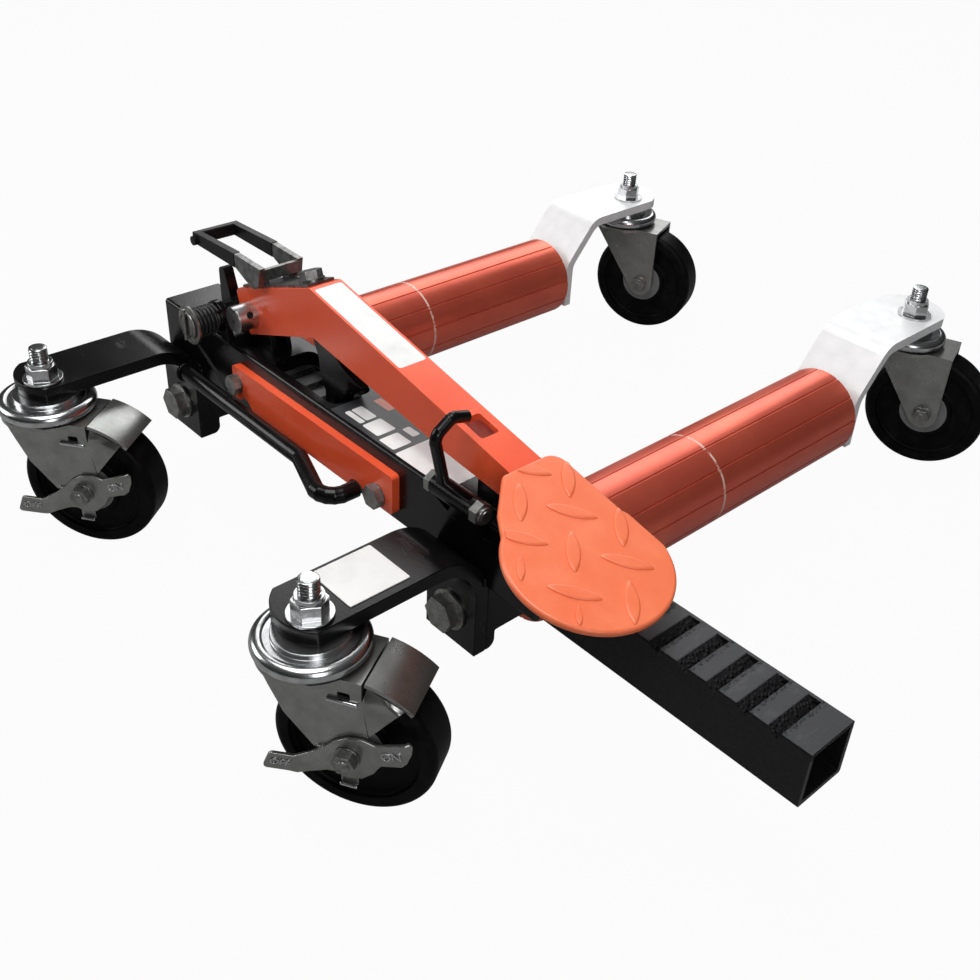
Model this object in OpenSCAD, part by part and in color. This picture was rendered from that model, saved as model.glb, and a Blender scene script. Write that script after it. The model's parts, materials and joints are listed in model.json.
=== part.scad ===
// Wheel-lifting positioning jack on four swivel casters.
// Two rollers close under a car tyre: the near half slides on a toothed bar
// and a foot pedal with a drive pawl walks the bar through the sleeve.
// X runs along the toothed bar, Y along the rollers, Z up from the floor.

/* [Layout] */
// Distance between the roller axes with the jack closed
roller_gap = 332; // [320:1:360]
// Height of the roller axes over the floor
axle_z = 69; // [66:0.5:74]
// Height of the toothed bar's underside over the floor
bar_z = 98.5; // [96:0.5:104]
// Height of the caster arms' top faces over the floor
arm_top = 130; // [128:0.5:136]

/* [Toothed bar] */
// Outer width of the square bar
bar_w = 38; // [34:1:40]
// Free end of the bar, from the middle between the rollers
bar_end = 420; // [400:5:480]
// Wall of the bar at the sides and below
bar_wall = 3.2; // [2.5:0.1:5]
// Wall of the bar under the teeth, measured from the tooth crests
rack_wall = 8.2; // [7:0.1:10]
// Distance from tooth to tooth
tooth_pitch = 20; // [16:1:30]
// Depth of each notch
tooth_depth = 4.8; // [3:0.1:5.2]
// Length of the ramp that leads down into a notch
tooth_ramp = 7; // [4:0.5:10]
// Width of the foot of the steep wall behind a notch
tooth_face = 1.6; // [0.5:0.1:3]
// Uncut rim that the teeth leave along the bar's far wall
back_rim = 3; // [2:0.5:4]
// Length of solid crest at the free end
end_crest = 20; // [14:1:40]

/* [Sleeve] */
// Running gap between bar and sleeve
slide_gap = 0.3; // [0.2:0.05:0.6]
// Side wall of the sleeve
sleeve_wall = 5.2; // [4:0.1:7]
// Top wall of the sleeve
sleeve_top_wall = 10.7; // [8:0.1:12]
// Corner radius of the sleeve
sleeve_round = 2.5; // [1:0.1:4]
// Right end of the sleeve, from the middle between the rollers
sleeve_end = 232.9; // [225:1:250]
// Gap between the closed slider block and the sleeve
closing_gap = 0.5; // [0.3:0.1:2]
// Left end of the slot for the drive pawl
slot_left = -52; // [-56:1:-40]
// Right end of the slot for the drive pawl
slot_right = 24; // [20:1:30]
// Width of the slot for the drive pawl
slot_w = 34; // [24:1:36]
// Thickness of the keeper strap under the left end
strap_t = 5; // [3:0.5:7]

/* [Caster arms] */
// Width of the near arms and their brackets
arm_w = 48; // [44:1:56]
// Thickness of the near arms
arm_t = 10; // [8:0.5:12]
// Inner radius of the bend in the near arms
arm_bend = 30; // [20:1:34]
// Front face of the near arms' upright webs
web_front = -31.3; // [-34:0.1:-30]
// Lower edge of the upright webs
web_low = 44; // [40:1:48]
// Thickness of web and doubler together at the lower edge
doubler_t = 17.9; // [14:0.1:20]
// Lower face of the pad under the bar
pad_low = 57; // [54:0.5:60]
// Width of the far arms
far_w = 60; // [54:1:64]
// Thickness of the far arms
far_t = 8; // [6:0.5:10]
// Gap between the rollers and the far arms' upright legs
end_gap = 3; // [2.5:0.1:7]
// Distance from the far legs' inner faces to the far casters' swivel axes
far_reach = 103; // [98:0.5:108]
// Lower edge of the far legs
far_low = 46; // [42:1:50]
// Inner bend radius of the far arms
far_bend = 14; // [10:1:18]

/* [Rollers] */
// Outer diameter of the rollers
roller_d = 73; // [70:0.5:78]
// Wall of the rollers
roller_wall = 3.5; // [2:0.1:6]
// Near end of the rollers
roller_near = 28; // [27.6:0.1:30]
// Length of the rollers
roller_len = 345; // [330:1:346]
// Number of grooves along each roller
grooves = 12; // [8:1:20]
// Width of a roller groove
groove_w = 1.6; // [1:0.1:2.5]
// Depth of the end plugs
plug_len = 12; // [8:1:20]
// Diameter of the roller axles
axle_d = 14; // [12:0.5:16]

/* [Casters] */
// Wheel diameter of the casters
wheel_d = 101.6; // [98:0.2:104]
// Tread width of the wheels
wheel_w = 30; // [26:1:32]
// Distance from swivel axis to wheel axle
trail = 30.3; // [26:0.1:34]
// Top of the caster forks
fork_top = 107; // [105.5:0.5:109]
// Thickness of the fork's sheet
fork_t = 3; // [2:0.1:3.4]
// Inner width of the fork
fork_gap = 35; // [34.2:0.1:37]
// Radius of the near casters' ball race
near_race = 35; // [32:0.5:37]
// Radius of the far casters' ball race
far_race = 31; // [29:0.5:34]
// Diameter of the threaded caster stems
stem_d = 12.7; // [10:0.1:14]
// Top of the caster stems
stem_top = 155.6; // [152:0.1:160]
// Radius of the wheel hubs
hub_r = 20; // [16:0.5:22]
// Swivel angle of the near left caster
turn_near_a = 36.8; // [0:0.1:360]
// Swivel angle of the near right caster
turn_near_b = 30.4; // [0:0.1:360]
// Swivel angle of the far left caster
turn_far_a = 21; // [0:0.1:360]
// Swivel angle of the far right caster
turn_far_b = 19.2; // [0:0.1:360]

/* [Pedal] */
// Height of the pedal pivot over the sleeve
pivot_up = 25.5; // [25:0.5:27]
// Place of the pedal pivot along the bar
pivot_x = -82; // [-84:0.5:-80]
// Diameter of the pedal's pivot pin
pin_d = 20; // [16:0.5:21]
// Outer width of the pedal channel
pedal_w = 25.6; // [24:0.2:26]
// Wall of the pedal channel
pedal_wall = 4; // [3:0.1:4.2]
// Thickness of the foot plate
foot_t = 5; // [4:0.5:8]
// Radius of the round end of the foot plate
foot_r = 49.5; // [44:0.5:54]

/* [Ratchet] */
// Diameter of the holding pawl's shaft
shaft_d = 12; // [10:0.5:13]
// Place of the holding pawl's shaft along the bar
shaft_x = -113; // [-114:0.5:-112]
// Height of that shaft over the sleeve
shaft_up = 14.5; // [14:0.5:16]
// Rest gap between each pawl and the tooth crests
pawl_gap = 0.3; // [0.2:0.05:0.5]
// Wire of the torsion spring
wire_d = 2.4; // [1.6:0.1:2.6]
// Mean radius of the spring's curls
coil_r = 10.2; // [9.8:0.1:12]
// Number of curls
curls = 5; // [3:1:5]
// Distance from curl to curl
coil_pitch = 3.15; // [3:0.05:3.2]

/* [Guard bar and rod] */
// Thickness of the orange guard bar
guard_t = 6; // [5:0.5:7]
// Height of the guard bar
guard_h = 30; // [26:1:32]
// Diameter of the black guide rod
rod_d = 12; // [9:0.5:12.5]
// Hook wire of the pedal catch
hook_d = 7.5; // [6:0.1:8]
// Swing of the catch away from the pedal at rest
hook_out = 27; // [26:0.5:40]

/* [Hidden] */
$fn = 72;
eps = 0.01;
xa = -roller_gap / 2;
xb = roller_gap / 2;
bar_top = bar_z + bar_w;
bar_left = xa - arm_w / 2;
sleeve_low = bar_z - slide_gap;
sleeve_top = bar_top + slide_gap + sleeve_top_wall;
sleeve_hw = bar_w / 2 + slide_gap + sleeve_wall;
sleeve_left = xa + arm_w / 2 + closing_gap;
web_back = web_front + arm_t;
bend_y = web_front - arm_bend;
bend_z = arm_top - arm_t - arm_bend;
arm_low = arm_top - arm_t;
far_under = arm_top - far_t;
near_y = -142;
far_leg = roller_near + roller_len + end_gap;
far_y = far_leg + far_reach;
near_dx = 8;
far_dx = 10.7;
axle_fit = 0.05;
wheel_r = wheel_d / 2;
fork_hw = fork_gap / 2 + fork_t;
bolt_d = 8;
lever_gap = 0.5;
lever_t = 2.5;
hub_hw = fork_gap / 2 - 0.3;
pivot_z = sleeve_top + pivot_up;
pedal_hw = pedal_w / 2;
pedal_in = pedal_hw - pedal_wall;
// The pedal's top line right of its bend: height at X = 0 and slope
pedal_h0 = pivot_z + 48;
pedal_fall = 0.2108;
pedal_tilt = atan(pedal_fall);
pedal_bend_x = -5.9;
pedal_bend_z = pedal_h0 - pedal_fall * pedal_bend_x;
pedal_left_x = -100.5;
pedal_left_z = pivot_z + 14;
pedal_rise = (pedal_bend_z - pedal_left_z) / (pedal_bend_x - pedal_left_x);
pedal_rise_a = atan(pedal_rise);
pedal_right = 226;
rest_x = pedal_right - 60;
plate_gap = 0.4;
plate_t = 4;
shaft_z = sleeve_top + shaft_up;
shaft_big = 16;
pawl_low = bar_top + pawl_gap;
guard_top = 137;
rod_z = guard_top - guard_h + 1;
rod_y = -38.5;
hook_y = -31;
hook_z = sleeve_top + 10;
hook_x = 157;
centre_x = (bar_end + xa - roller_d / 2) / 2;
centre_y = 170.39;

// Outline in X and Z, pushed along Y from y0 to y1
module slab_y(y0, y1) {
  translate([0, y1, 0])
    rotate([90, 0, 0])
      linear_extrude(y1 - y0)
        children();
}

// Outline in Y and Z, pushed along X from x0 to x1
module slab_x(x0, x1) {
  translate([x0, 0, 0])
    rotate([90, 0, 90])
      linear_extrude(x1 - x0)
        children();
}

// Round bar along Y
module pin_y(d, y0, y1) {
  translate([0, y1, 0])
    rotate([90, 0, 0])
      cylinder(d = d, h = y1 - y0);
}

// Round bar along X
module pin_x(d, x0, x1) {
  translate([x0, 0, 0])
    rotate([0, 90, 0])
      cylinder(d = d, h = x1 - x0);
}

// Part of a flat ring between two angles that are less than 180 degrees apart
module ring_part(r_in, r_out, a0, a1) {
  reach = 2.2 * r_out;
  mid = (a0 + a1) / 2;
  intersection() {
    difference() {
      circle(r = r_out);
      circle(r = r_in);
    }
    polygon([
      [0, 0],
      [reach * cos(a0), reach * sin(a0)],
      [reach * 1.6 * cos(mid), reach * 1.6 * sin(mid)],
      [reach * cos(a1), reach * sin(a1)]
    ]);
  }
}

// Bend of a bar along X about a line at y, z: from angle a0, measured from +Y, for turn degrees
module bend_x(x0, x1, y, z, r_in, r_out, a0, turn) {
  translate([x0, y, z])
    rotate([a0, 0, 0])
      rotate([90, 0, 90])
        rotate_extrude(angle = turn)
          translate([r_in, 0])
            square([r_out - r_in, x1 - x0]);
}

// Rectangle with round corners, from one corner to the other
module soft_rect(x0, y0, x1, y1, r) {
  translate([x0 + r, y0])
    square([x1 - x0 - 2 * r, y1 - y0]);
  translate([x0, y0 + r])
    square([x1 - x0, y1 - y0 - 2 * r]);
  for (x = [x0 + r, x1 - r])
    for (y = [y0 + r, y1 - r])
      translate([x, y])
        circle(r = r);
}

// Hexagon bar along Z, given its width across the flats
module hexagon(across, h) {
  cylinder(d = across / cos(30), h = h, $fn = 6);
}

// Toothed bar: a square tube with a ramp and a steep wall cut at every pitch
module rack_bar() {
  first = bar_end - end_crest;
  count = floor((first - sleeve_left - 14) / tooth_pitch);
  color("#1b1b1d")
    difference() {
      slab_x(bar_left, bar_end)
        soft_rect(-bar_w / 2, bar_z, bar_w / 2, bar_top, 1.6);
      slab_x(bar_left - 1, bar_end + 1)
        soft_rect(
          -bar_w / 2 + bar_wall, bar_z + bar_wall,
          bar_w / 2 - bar_wall, bar_top - rack_wall, 1
        );
      slab_x(bar_end - end_crest + 8, bar_end + 1)
        soft_rect(
          -bar_w / 2 + bar_wall, bar_z + bar_wall,
          bar_w / 2 - bar_wall, bar_top - bar_wall, 1
        );
      for (k = [0 : count])
        translate([first - k * tooth_pitch, 0, bar_top])
          slab_y(-bar_w / 2 - 1, bar_w / 2 - back_rim)
            polygon([
              [-tooth_ramp, 0],
              [0, -tooth_depth],
              [tooth_face, 0],
              [tooth_face, 2],
              [-tooth_ramp, 2]
            ]);
    }
}

// Closed end of the sliding half: a short length of the sleeve's section, welded on
module slider_block() {
  color("#151516")
    difference() {
      slab_x(bar_left, xa + arm_w / 2)
        soft_rect(-sleeve_hw, sleeve_low, sleeve_hw, sleeve_top, sleeve_round);
      slab_x(bar_left - 1, xa + arm_w / 2 + 1)
        soft_rect(-bar_w / 2, bar_z, bar_w / 2, bar_top, 1.6);
    }
}

// Sleeve: a channel over the bar, with the slot of the drive pawl,
// the opening of the holding pawl and a keeper strap below
module sleeve() {
  in_hw = bar_w / 2 + slide_gap;
  color("#151516") {
    difference() {
      slab_x(sleeve_left, sleeve_end)
        soft_rect(-sleeve_hw, sleeve_low, sleeve_hw, sleeve_top, sleeve_round);
      translate([sleeve_left - 1, -in_hw, sleeve_low - 1])
        cube([sleeve_end - sleeve_left + 2, 2 * in_hw, bar_top + slide_gap - sleeve_low + 1]);
      translate([0, 0, bar_top])
        linear_extrude(sleeve_top - bar_top + 1)
          soft_rect(slot_left, -slot_w / 2, slot_right, slot_w / 2, 7);
      translate([0, 0, bar_top])
        linear_extrude(sleeve_top - bar_top + 1)
          soft_rect(shaft_x + 1, -4.3, pivot_x + 6, 4.3, 1.5);
    }
    translate([sleeve_left, -sleeve_hw, sleeve_low - strap_t])
      cube([41, 2 * sleeve_hw, strap_t]);
  }
}

// Two plates on the sleeve that carry the pedal's pin
module pivot_plates() {
  out_y = pedal_in - plate_gap;
  color("#1a1a1b")
    for (y = [-out_y, out_y - plate_t])
      slab_y(y, y + plate_t)
        difference() {
          union() {
            translate([pivot_x, pivot_z])
              circle(r = 14);
            polygon([
              [pivot_x - 15, sleeve_top],
              [pivot_x - 14, pivot_z],
              [pivot_x + 14, pivot_z],
              [pivot_x + 19, sleeve_top]
            ]);
          }
          translate([pivot_x, pivot_z])
            circle(d = pin_d + 2 * axle_fit);
        }
}

// Pivot pin with a cross hole for grease near its front end
module pivot_pin() {
  color("#8f9194")
    translate([pivot_x, 0, pivot_z])
      difference() {
        union() {
          pin_y(pin_d, -27.2, 27.2);
          pin_y(pin_d - 1.6, -28, 28);
        }
        translate([0, -19, 0])
          rotate([0, 62, 0])
            cylinder(d = 5.4, h = pin_d + 2, center = true);
      }
}

// Two ears on the sleeve that carry the holding pawl's shaft
module pawl_ears() {
  in_y = sleeve_hw - sleeve_wall;
  color("#171718")
    for (y = [-sleeve_hw, in_y])
      slab_y(y, y + sleeve_wall)
        difference() {
          union() {
            translate([shaft_x, shaft_z])
              circle(r = 12.5);
            polygon([
              [sleeve_left + 2, sleeve_top],
              [shaft_x - 12, shaft_z + 3],
              [shaft_x + 12, shaft_z + 3],
              [shaft_x + 17, sleeve_top]
            ]);
          }
          translate([shaft_x, shaft_z])
            circle(d = shaft_d + 2 * axle_fit);
        }
}

// Stepped shaft of the holding pawl
module pawl_shaft() {
  color("#9a9c9e")
    translate([shaft_x, 0, shaft_z]) {
      pin_y(shaft_d, -sleeve_hw - 0.5, sleeve_hw + 5);
      pin_y(shaft_big, -48.6, -sleeve_hw - 0.2);
      pin_y(shaft_d + 8, sleeve_hw + 0.2, sleeve_hw + 3.2);
    }
}

// Washer and round clip that hold the spring on its shaft
module shaft_clip() {
  color("#a8abad")
    translate([shaft_x, 0, shaft_z]) {
      difference() {
        pin_y(29, -46.6, -45);
        pin_y(shaft_big + 0.1, -47, -44);
      }
      translate([0, -47.6, 0])
        rotate([90, 0, 0])
          rotate_extrude()
            translate([shaft_big / 2 + 1.3, 0])
              circle(r = 1.2, $fn = 24);
      translate([0, -49.9, -10.5])
        cylinder(r = 1.2, h = 24, $fn = 24);
    }
}

// Spring wire: the straight hooked end, the curls and the straight leg
spring_y0 = -sleeve_hw - wire_d / 2 - 0.5;
leg_end = [pivot_x - 2, -35.5, guard_top - 20.5];
leg_dx = leg_end[0] - shaft_x;
leg_dz = leg_end[2] - shaft_z;
leg_far = sqrt(leg_dx * leg_dx + leg_dz * leg_dz);
leg_a = atan2(leg_dz, leg_dx) - acos(coil_r / leg_far);
steps = 8;
total_a = curls * 360 + leg_a + 360 - 70;
rings = floor(total_a / (360 / steps));
function coil_at(a) = [
  shaft_x + coil_r * cos(a),
  spring_y0 - coil_pitch * (a - 70) / 360,
  shaft_z + coil_r * sin(a)
];
function coil_dir(a) = [-sin(a), 0, cos(a)];
coil_start = coil_at(70);
coil_stop = coil_at(70 + total_a);
leg_start = [coil_stop[0], coil_stop[1], coil_stop[2]];
wire_path = concat(
  [coil_start - 2 * wire_d * coil_dir(70), coil_start - wire_d * coil_dir(70)],
  [for (k = [0 : rings]) coil_at(70 + k * total_a / rings)],
  [
    leg_start + (leg_end - leg_start) * 0.06,
    leg_start + (leg_end - leg_start) * 0.5,
    leg_end - wire_d * (leg_end - leg_start) / norm(leg_end - leg_start),
    leg_end
  ]
);

// Six-sided tube of radius r through a list of points that never runs along Y
function way(p, i) =
  let (a = p[max(i - 1, 0)], b = p[min(i + 1, len(p) - 1)])
  (b - a) / norm(b - a);
function side_of(t) =
  let (s = cross(t, [0, 1, 0]))
  s / norm(s);
module wire(p, r, sides) {
  n = len(p);
  points = [
    for (i = [0 : n - 1])
      let (t = way(p, i), u = side_of(t), w = cross(u, t))
      for (k = [0 : sides - 1])
        p[i] + r * (cos(360 * k / sides) * u + sin(360 * k / sides) * w)
  ];
  faces = concat(
    [
      for (i = [0 : n - 2])
        for (k = [0 : sides - 1])
          [i * sides + k, i * sides + (k + 1) % sides, (i + 1) * sides + k]
    ],
    [
      for (i = [0 : n - 2])
        for (k = [0 : sides - 1])
          [
            i * sides + (k + 1) % sides,
            (i + 1) * sides + (k + 1) % sides,
            (i + 1) * sides + k
          ]
    ],
    [for (k = [1 : sides - 2]) [0, k + 1, k]],
    [for (k = [1 : sides - 2]) [(n - 1) * sides, (n - 1) * sides + k, (n - 1) * sides + k + 1]]
  );
  polyhedron(points = points, faces = faces);
}

// Torsion spring of the holding pawl
module pawl_spring() {
  color("#2a2a2c")
    wire(wire_path, wire_d / 2, 6);
}
own_gap = min([
  for (i = [0 : len(wire_path) - 1])
    for (j = [i + 5 : 1 : len(wire_path) - 1])
      norm(wire_path[i] - wire_path[j]) - wire_d
]);
echo(spring_least_gap_to_itself = own_gap);

// Block on the sleeve that the lowered pedal rests on
module pedal_rest() {
  color("#232324")
    slab_y(-pedal_hw, pedal_hw)
      polygon([
        [rest_x, sleeve_top],
        [rest_x, pedal_under(rest_x) - 0.3],
        [rest_x + 27, pedal_under(rest_x + 27) - 0.3],
        [rest_x + 30, sleeve_top]
      ]);
}

// Painted bar on the sleeve's front, with two round notches in its lower edge
module guard_bar() {
  low = guard_top - guard_h;
  color("#e2401f")
    slab_y(-sleeve_hw - guard_t, -sleeve_hw)
      difference() {
        union() {
          soft_rect(-85, low + 3, 105, guard_top, 3);
          soft_rect(-62, low, 105, guard_top - 4, 3);
        }
        translate([-70, low])
          circle(r = 7.5);
        translate([66, low - 3])
          circle(r = 10);
        translate([-79, guard_top - 13.5])
          circle(d = 8);
        translate([89, guard_top - 21.5])
          circle(d = 8);
      }
}

// Two hexagon bolts of the guard bar
module guard_bolts() {
  face = -sleeve_hw - guard_t;
  color("#a3a6a8") {
    for (p = [[-79, guard_top - 13.5, 13], [89, guard_top - 21.5, 15]])
      translate([p[0], 0, p[1]]) {
        pin_y(8, face - 1, -sleeve_hw);
        translate([0, face - 1, 0])
          pin_y(p[2] + 2, 0, 1);
        translate([0, face - 1, 0])
          rotate([90, 0, 0])
            hexagon(p[2], 5.2);
      }
  }
}

// Bent near arm: a flat end for the caster, a wide bend and an upright web
module near_arm(x0) {
  reach = 30.5;
  color("#19191b")
    difference() {
      intersection() {
        union() {
          translate([x0 - arm_w / 2, near_y - 20, arm_low])
            cube([arm_w, bend_y - near_y + 20, arm_t]);
          bend_x(x0 - arm_w / 2, x0 + arm_w / 2, bend_y, bend_z, arm_bend, arm_bend + arm_t, 0, 90);
          translate([x0 - arm_w / 2, web_front, web_low])
            cube([arm_w, arm_t, bend_z - web_low]);
        }
        linear_extrude(arm_top + 1)
          union() {
            translate([x0 + 1, near_y + 14])
              circle(r = reach);
            translate([x0 - arm_w / 2, near_y + 14])
              square([arm_w, 200]);
          }
      }
      translate([x0 - arm_w, -sleeve_hw, sleeve_low])
        cube([2 * arm_w, 60, 60]);
      translate([x0 + near_dx, near_y, arm_low - 1])
        cylinder(d = stem_d + 2 * axle_fit, h = arm_t + 2);
      translate([x0, 0, axle_z])
        pin_y(axle_d + 2 * axle_fit, web_front - 1, web_back + 1);
    }
}

// Doubler and pad behind the web, welded under the bar
module bracket(x0) {
  back = web_front + doubler_t;
  color("#131314")
    difference() {
      slab_x(x0 - arm_w / 2, x0 + arm_w / 2) {
        polygon([
          [web_back, web_low],
          [back - 6, web_low],
          [back - 6, pad_low],
          [sleeve_hw, pad_low],
          [sleeve_hw, sleeve_low],
          [web_back, sleeve_low]
        ]);
        intersection() {
          translate([back - 6, web_low + 6])
            circle(r = 6);
          translate([back - 6, web_low])
            square([6, 12]);
        }
        translate([back - 6, web_low + 6])
          square([6, pad_low - web_low]);
      }
      translate([x0, 0, axle_z])
        pin_y(axle_d + 2 * axle_fit, web_front, sleeve_hw + 1);
    }
}

// Galvanised far arm: an upright leg, a sloping middle and a flat end
module far_arm(x0) {
  slope = 50;
  r_out = far_bend + far_t;
  low_y = far_leg + far_t + far_bend;
  low_z = 82;
  high_z = arm_top - r_out;
  run = (high_z - low_z) / tan(slope);
  high_y = low_y + run;
  turn = 90 + slope;
  left = x0 - far_w / 2 + 1;
  skin = 0.05;
  color("#c9ccd0")
    difference() {
      intersection() {
        union() {
          translate([left, far_leg, far_low])
            cube([far_w, far_t, low_z - far_low]);
          bend_x(left, left + far_w, low_y, low_z, far_bend, r_out, 180, turn - 180);
          translate([left, low_y, low_z])
            rotate([slope, 0, 0])
              translate([0, -1, far_bend + skin])
                cube([far_w, run / cos(slope) + 2, far_t - 2 * skin]);
          bend_x(left, left + far_w, high_y, high_z, far_bend, r_out, 90, slope);
          translate([left, high_y, far_under])
            cube([far_w, far_y + 40 - high_y, far_t]);
        }
        linear_extrude(arm_top + 1)
          union() {
            translate([x0 + 2, far_y + 6])
              circle(r = far_w / 2);
            translate([x0 - far_w, far_leg - 1])
              square([2 * far_w, far_y + 7 - far_leg]);
          }
      }
      translate([x0 + far_dx, far_y, far_under - 1])
        cylinder(d = stem_d + 2 * axle_fit, h = far_t + 2);
      translate([x0, 0, axle_z])
        pin_y(axle_d + 2 * axle_fit, far_leg - 1, far_leg + far_t + 1);
    }
}

// Axle bolt through bracket, roller and far leg, with spacers, washers and nut
module axle(x0) {
  far_face = far_leg + far_t;
  color("#8d8f90")
    translate([x0, 0, axle_z]) {
      pin_y(axle_d, web_front - 2, far_face + 9.4);
      pin_y(29, web_front - 2, web_front);
      translate([0, web_front - 2, 0])
        rotate([90, 0, 0])
          hexagon(22, 9);
      pin_y(30, sleeve_hw, roller_near - 0.3);
      pin_y(30, roller_near + roller_len + 0.3, far_leg);
      pin_y(27, far_face, far_face + 1.6);
      translate([0, far_face + 8.8, 0])
        rotate([90, 0, 0])
          hexagon(20, 7.2);
    }
}

// Grooved roller tube
module roller(x0) {
  color("#d9452b")
    translate([x0, roller_near + roller_len, axle_z])
      rotate([90, 0, 0])
        linear_extrude(roller_len)
          difference() {
            circle(d = roller_d, $fn = 96);
            circle(d = roller_d - 2 * roller_wall, $fn = 96);
            for (k = [0 : grooves - 1])
              rotate(360 / grooves * (k + 0.4))
                translate([roller_d / 2 + 0.1, 0])
                  circle(d = groove_w, $fn = 16);
          }
}

// Two bearing plugs in the ends of a roller
module plugs(x0) {
  color("#2b2c2e")
    translate([x0, 0, axle_z])
      difference() {
        union() {
          pin_y(roller_d - 2 * roller_wall, roller_near, roller_near + plug_len);
          pin_y(
            roller_d - 2 * roller_wall,
            roller_near + roller_len - plug_len, roller_near + roller_len
          );
        }
        pin_y(axle_d + 2 * axle_fit, roller_near - 1, roller_near + roller_len + 1);
      }
}

// Puts a caster's own frame at a swivel axis: X along the trail, Y along the wheel axle
module at_caster(x, y, turn) {
  translate([x, y, 0])
    rotate([0, 0, turn])
      children();
}

// Fixed half of a swivel: ball race, kingpin, washer, nut and threaded end
module stem(race, under) {
  color("#b9bcbe") {
    rotate_extrude() {
      translate([race - 5, fork_top + 5.3])
        circle(r = 5, $fn = 40);
      translate([0, fork_top + 0.3])
        square([race - 5, 9]);
      translate([0, fork_top + 0.3])
        square([race - 12, under - fork_top - 0.3]);
      translate([0, fork_top - fork_t - 4])
        square([stem_d / 2 - 0.4, fork_t + 4.6]);
      translate([0, fork_top - fork_t - 4.3])
        square([10, 4]);
    }
    translate([0, 0, under - 1])
      cylinder(d = stem_d, h = stem_top - under);
    translate([0, 0, stem_top - 1 - eps])
      cylinder(d = stem_d - 2, h = 1 + eps);
    translate([0, 0, arm_top])
      cylinder(r = 14, h = 2);
    translate([0, 0, arm_top + 2])
      hexagon(19, 9.5);
    translate([0, 0, arm_top + 11.5 - eps])
      cylinder(r = 8.8, h = 3.4);
  }
}

// Sheet fork of a far caster
module fork_far() {
  color("#b4b7b9")
    difference() {
      union() {
        translate([0, 0, fork_top - fork_t])
          linear_extrude(fork_t)
            intersection() {
              union() {
                circle(r = 30);
                translate([0, -fork_hw])
                  square([42.5, 2 * fork_hw]);
              }
              square([85, 2 * fork_hw + 16], center = true);
            }
        for (y = [-fork_hw, fork_gap / 2])
          slab_y(y, y + fork_t) {
            polygon([
              [-25, fork_top],
              [42.5, fork_top],
              [trail + 12.5, wheel_r],
              [trail, wheel_r - 12.5],
              [trail - 12, wheel_r - 4.2]
            ]);
            translate([trail, wheel_r])
              circle(r = 12.7);
          }
      }
      translate([0, 0, fork_top - fork_t - 1])
        cylinder(d = stem_d - 0.8 + 2 * axle_fit, h = fork_t + 2);
      translate([trail, 0, wheel_r])
        pin_y(bolt_d + 2 * axle_fit, -fork_hw - 1, fork_hw + 1);
    }
}

// Sheet fork of a near caster, with the brake's curved cover over the wheel
module fork_near() {
  cover = wheel_r + 5;
  color("#b4b7b9")
    difference() {
      union() {
        translate([0, 0, fork_top - fork_t])
          linear_extrude(fork_t)
            intersection() {
              union() {
                circle(r = 33);
                translate([0, -fork_hw])
                  square([38.5, 2 * fork_hw]);
              }
              square([77, 2 * fork_hw + 20], center = true);
            }
        for (y = [-fork_hw, fork_gap / 2])
          slab_y(y, y + fork_t) {
            polygon([
              [-26, fork_top],
              [38.5, fork_top],
              [38.5, 94],
              [trail + 12.3, 62],
              [trail + 12.3, wheel_r],
              [trail, wheel_r - 12.5],
              [trail - 14, wheel_r - 2.6],
              [trail - 22, wheel_r - 1.4],
              [-9.9, 70.7],
              [-18.3, 88.8]
            ]);
            translate([trail, wheel_r])
              circle(r = 12.7);
            polygon([
              [38.4, 93],
              [trail + cover * cos(78), wheel_r + cover * sin(78)],
              [trail + cover * cos(53), wheel_r + cover * sin(53)],
              [58, 88],
              [trail + 12.2, 68]
            ]);
          }
        slab_y(-fork_hw, fork_hw)
          translate([trail, wheel_r])
            ring_part(cover, cover + 2.6, 48, 80);
      }
      translate([0, 0, fork_top - fork_t - 1])
        cylinder(d = stem_d - 0.8 + 2 * axle_fit, h = fork_t + 2);
      translate([trail, 0, wheel_r])
        pin_y(bolt_d + 2 * axle_fit, -fork_hw - 1, fork_hw + 1);
      translate([0, 0, 0])
        slab_y(-fork_hw - 1, fork_hw + 1)
          soft_rect(24, 92.6, 31.5, 97.8, 1);
    }
}

// Wheel axle bolt: head behind, nut in front
module caster_bolt(extra) {
  front = -fork_hw - extra;
  color("#a6a9ab")
    translate([trail, 0, wheel_r]) {
      pin_y(bolt_d, front - 8.4, fork_hw + 1);
      pin_y(16, front - 1.3, front - 0.1);
      translate([0, front - 1.3, 0])
        rotate([90, 0, 0])
          hexagon(13, 6);
      translate([0, fork_hw + 5.6, 0])
        rotate([90, 0, 0])
          hexagon(13, 5.5);
    }
}

// Solid tyre with a recess in each side
module tyre() {
  half = wheel_w / 2;
  color("#161617")
    translate([trail, 0, wheel_r])
      rotate([90, 0, 0])
        rotate_extrude($fn = 96)
          difference() {
            union() {
              translate([hub_r, -half])
                square([wheel_r - hub_r - 5, wheel_w]);
              translate([hub_r, -half + 5])
                square([wheel_r - hub_r, wheel_w - 10]);
              for (y = [-half + 5, half - 5])
                translate([wheel_r - 5, y])
                  circle(r = 5, $fn = 40);
            }
            for (s = [-1, 1])
              translate([0, s * (half - 1)])
                soft_rect(hub_r + 3, -3, wheel_r - 10, 3, 2);
          }
}

// Hub disc with the axle bore
module hub() {
  color("#77797b")
    translate([trail, 0, wheel_r])
      difference() {
        union() {
          pin_y(2 * hub_r, -hub_hw + 1.5, hub_hw - 1.5);
          pin_y(24, -hub_hw, hub_hw);
        }
        pin_y(bolt_d + 2 * axle_fit, -hub_hw - 1, hub_hw + 1);
      }
}

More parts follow.
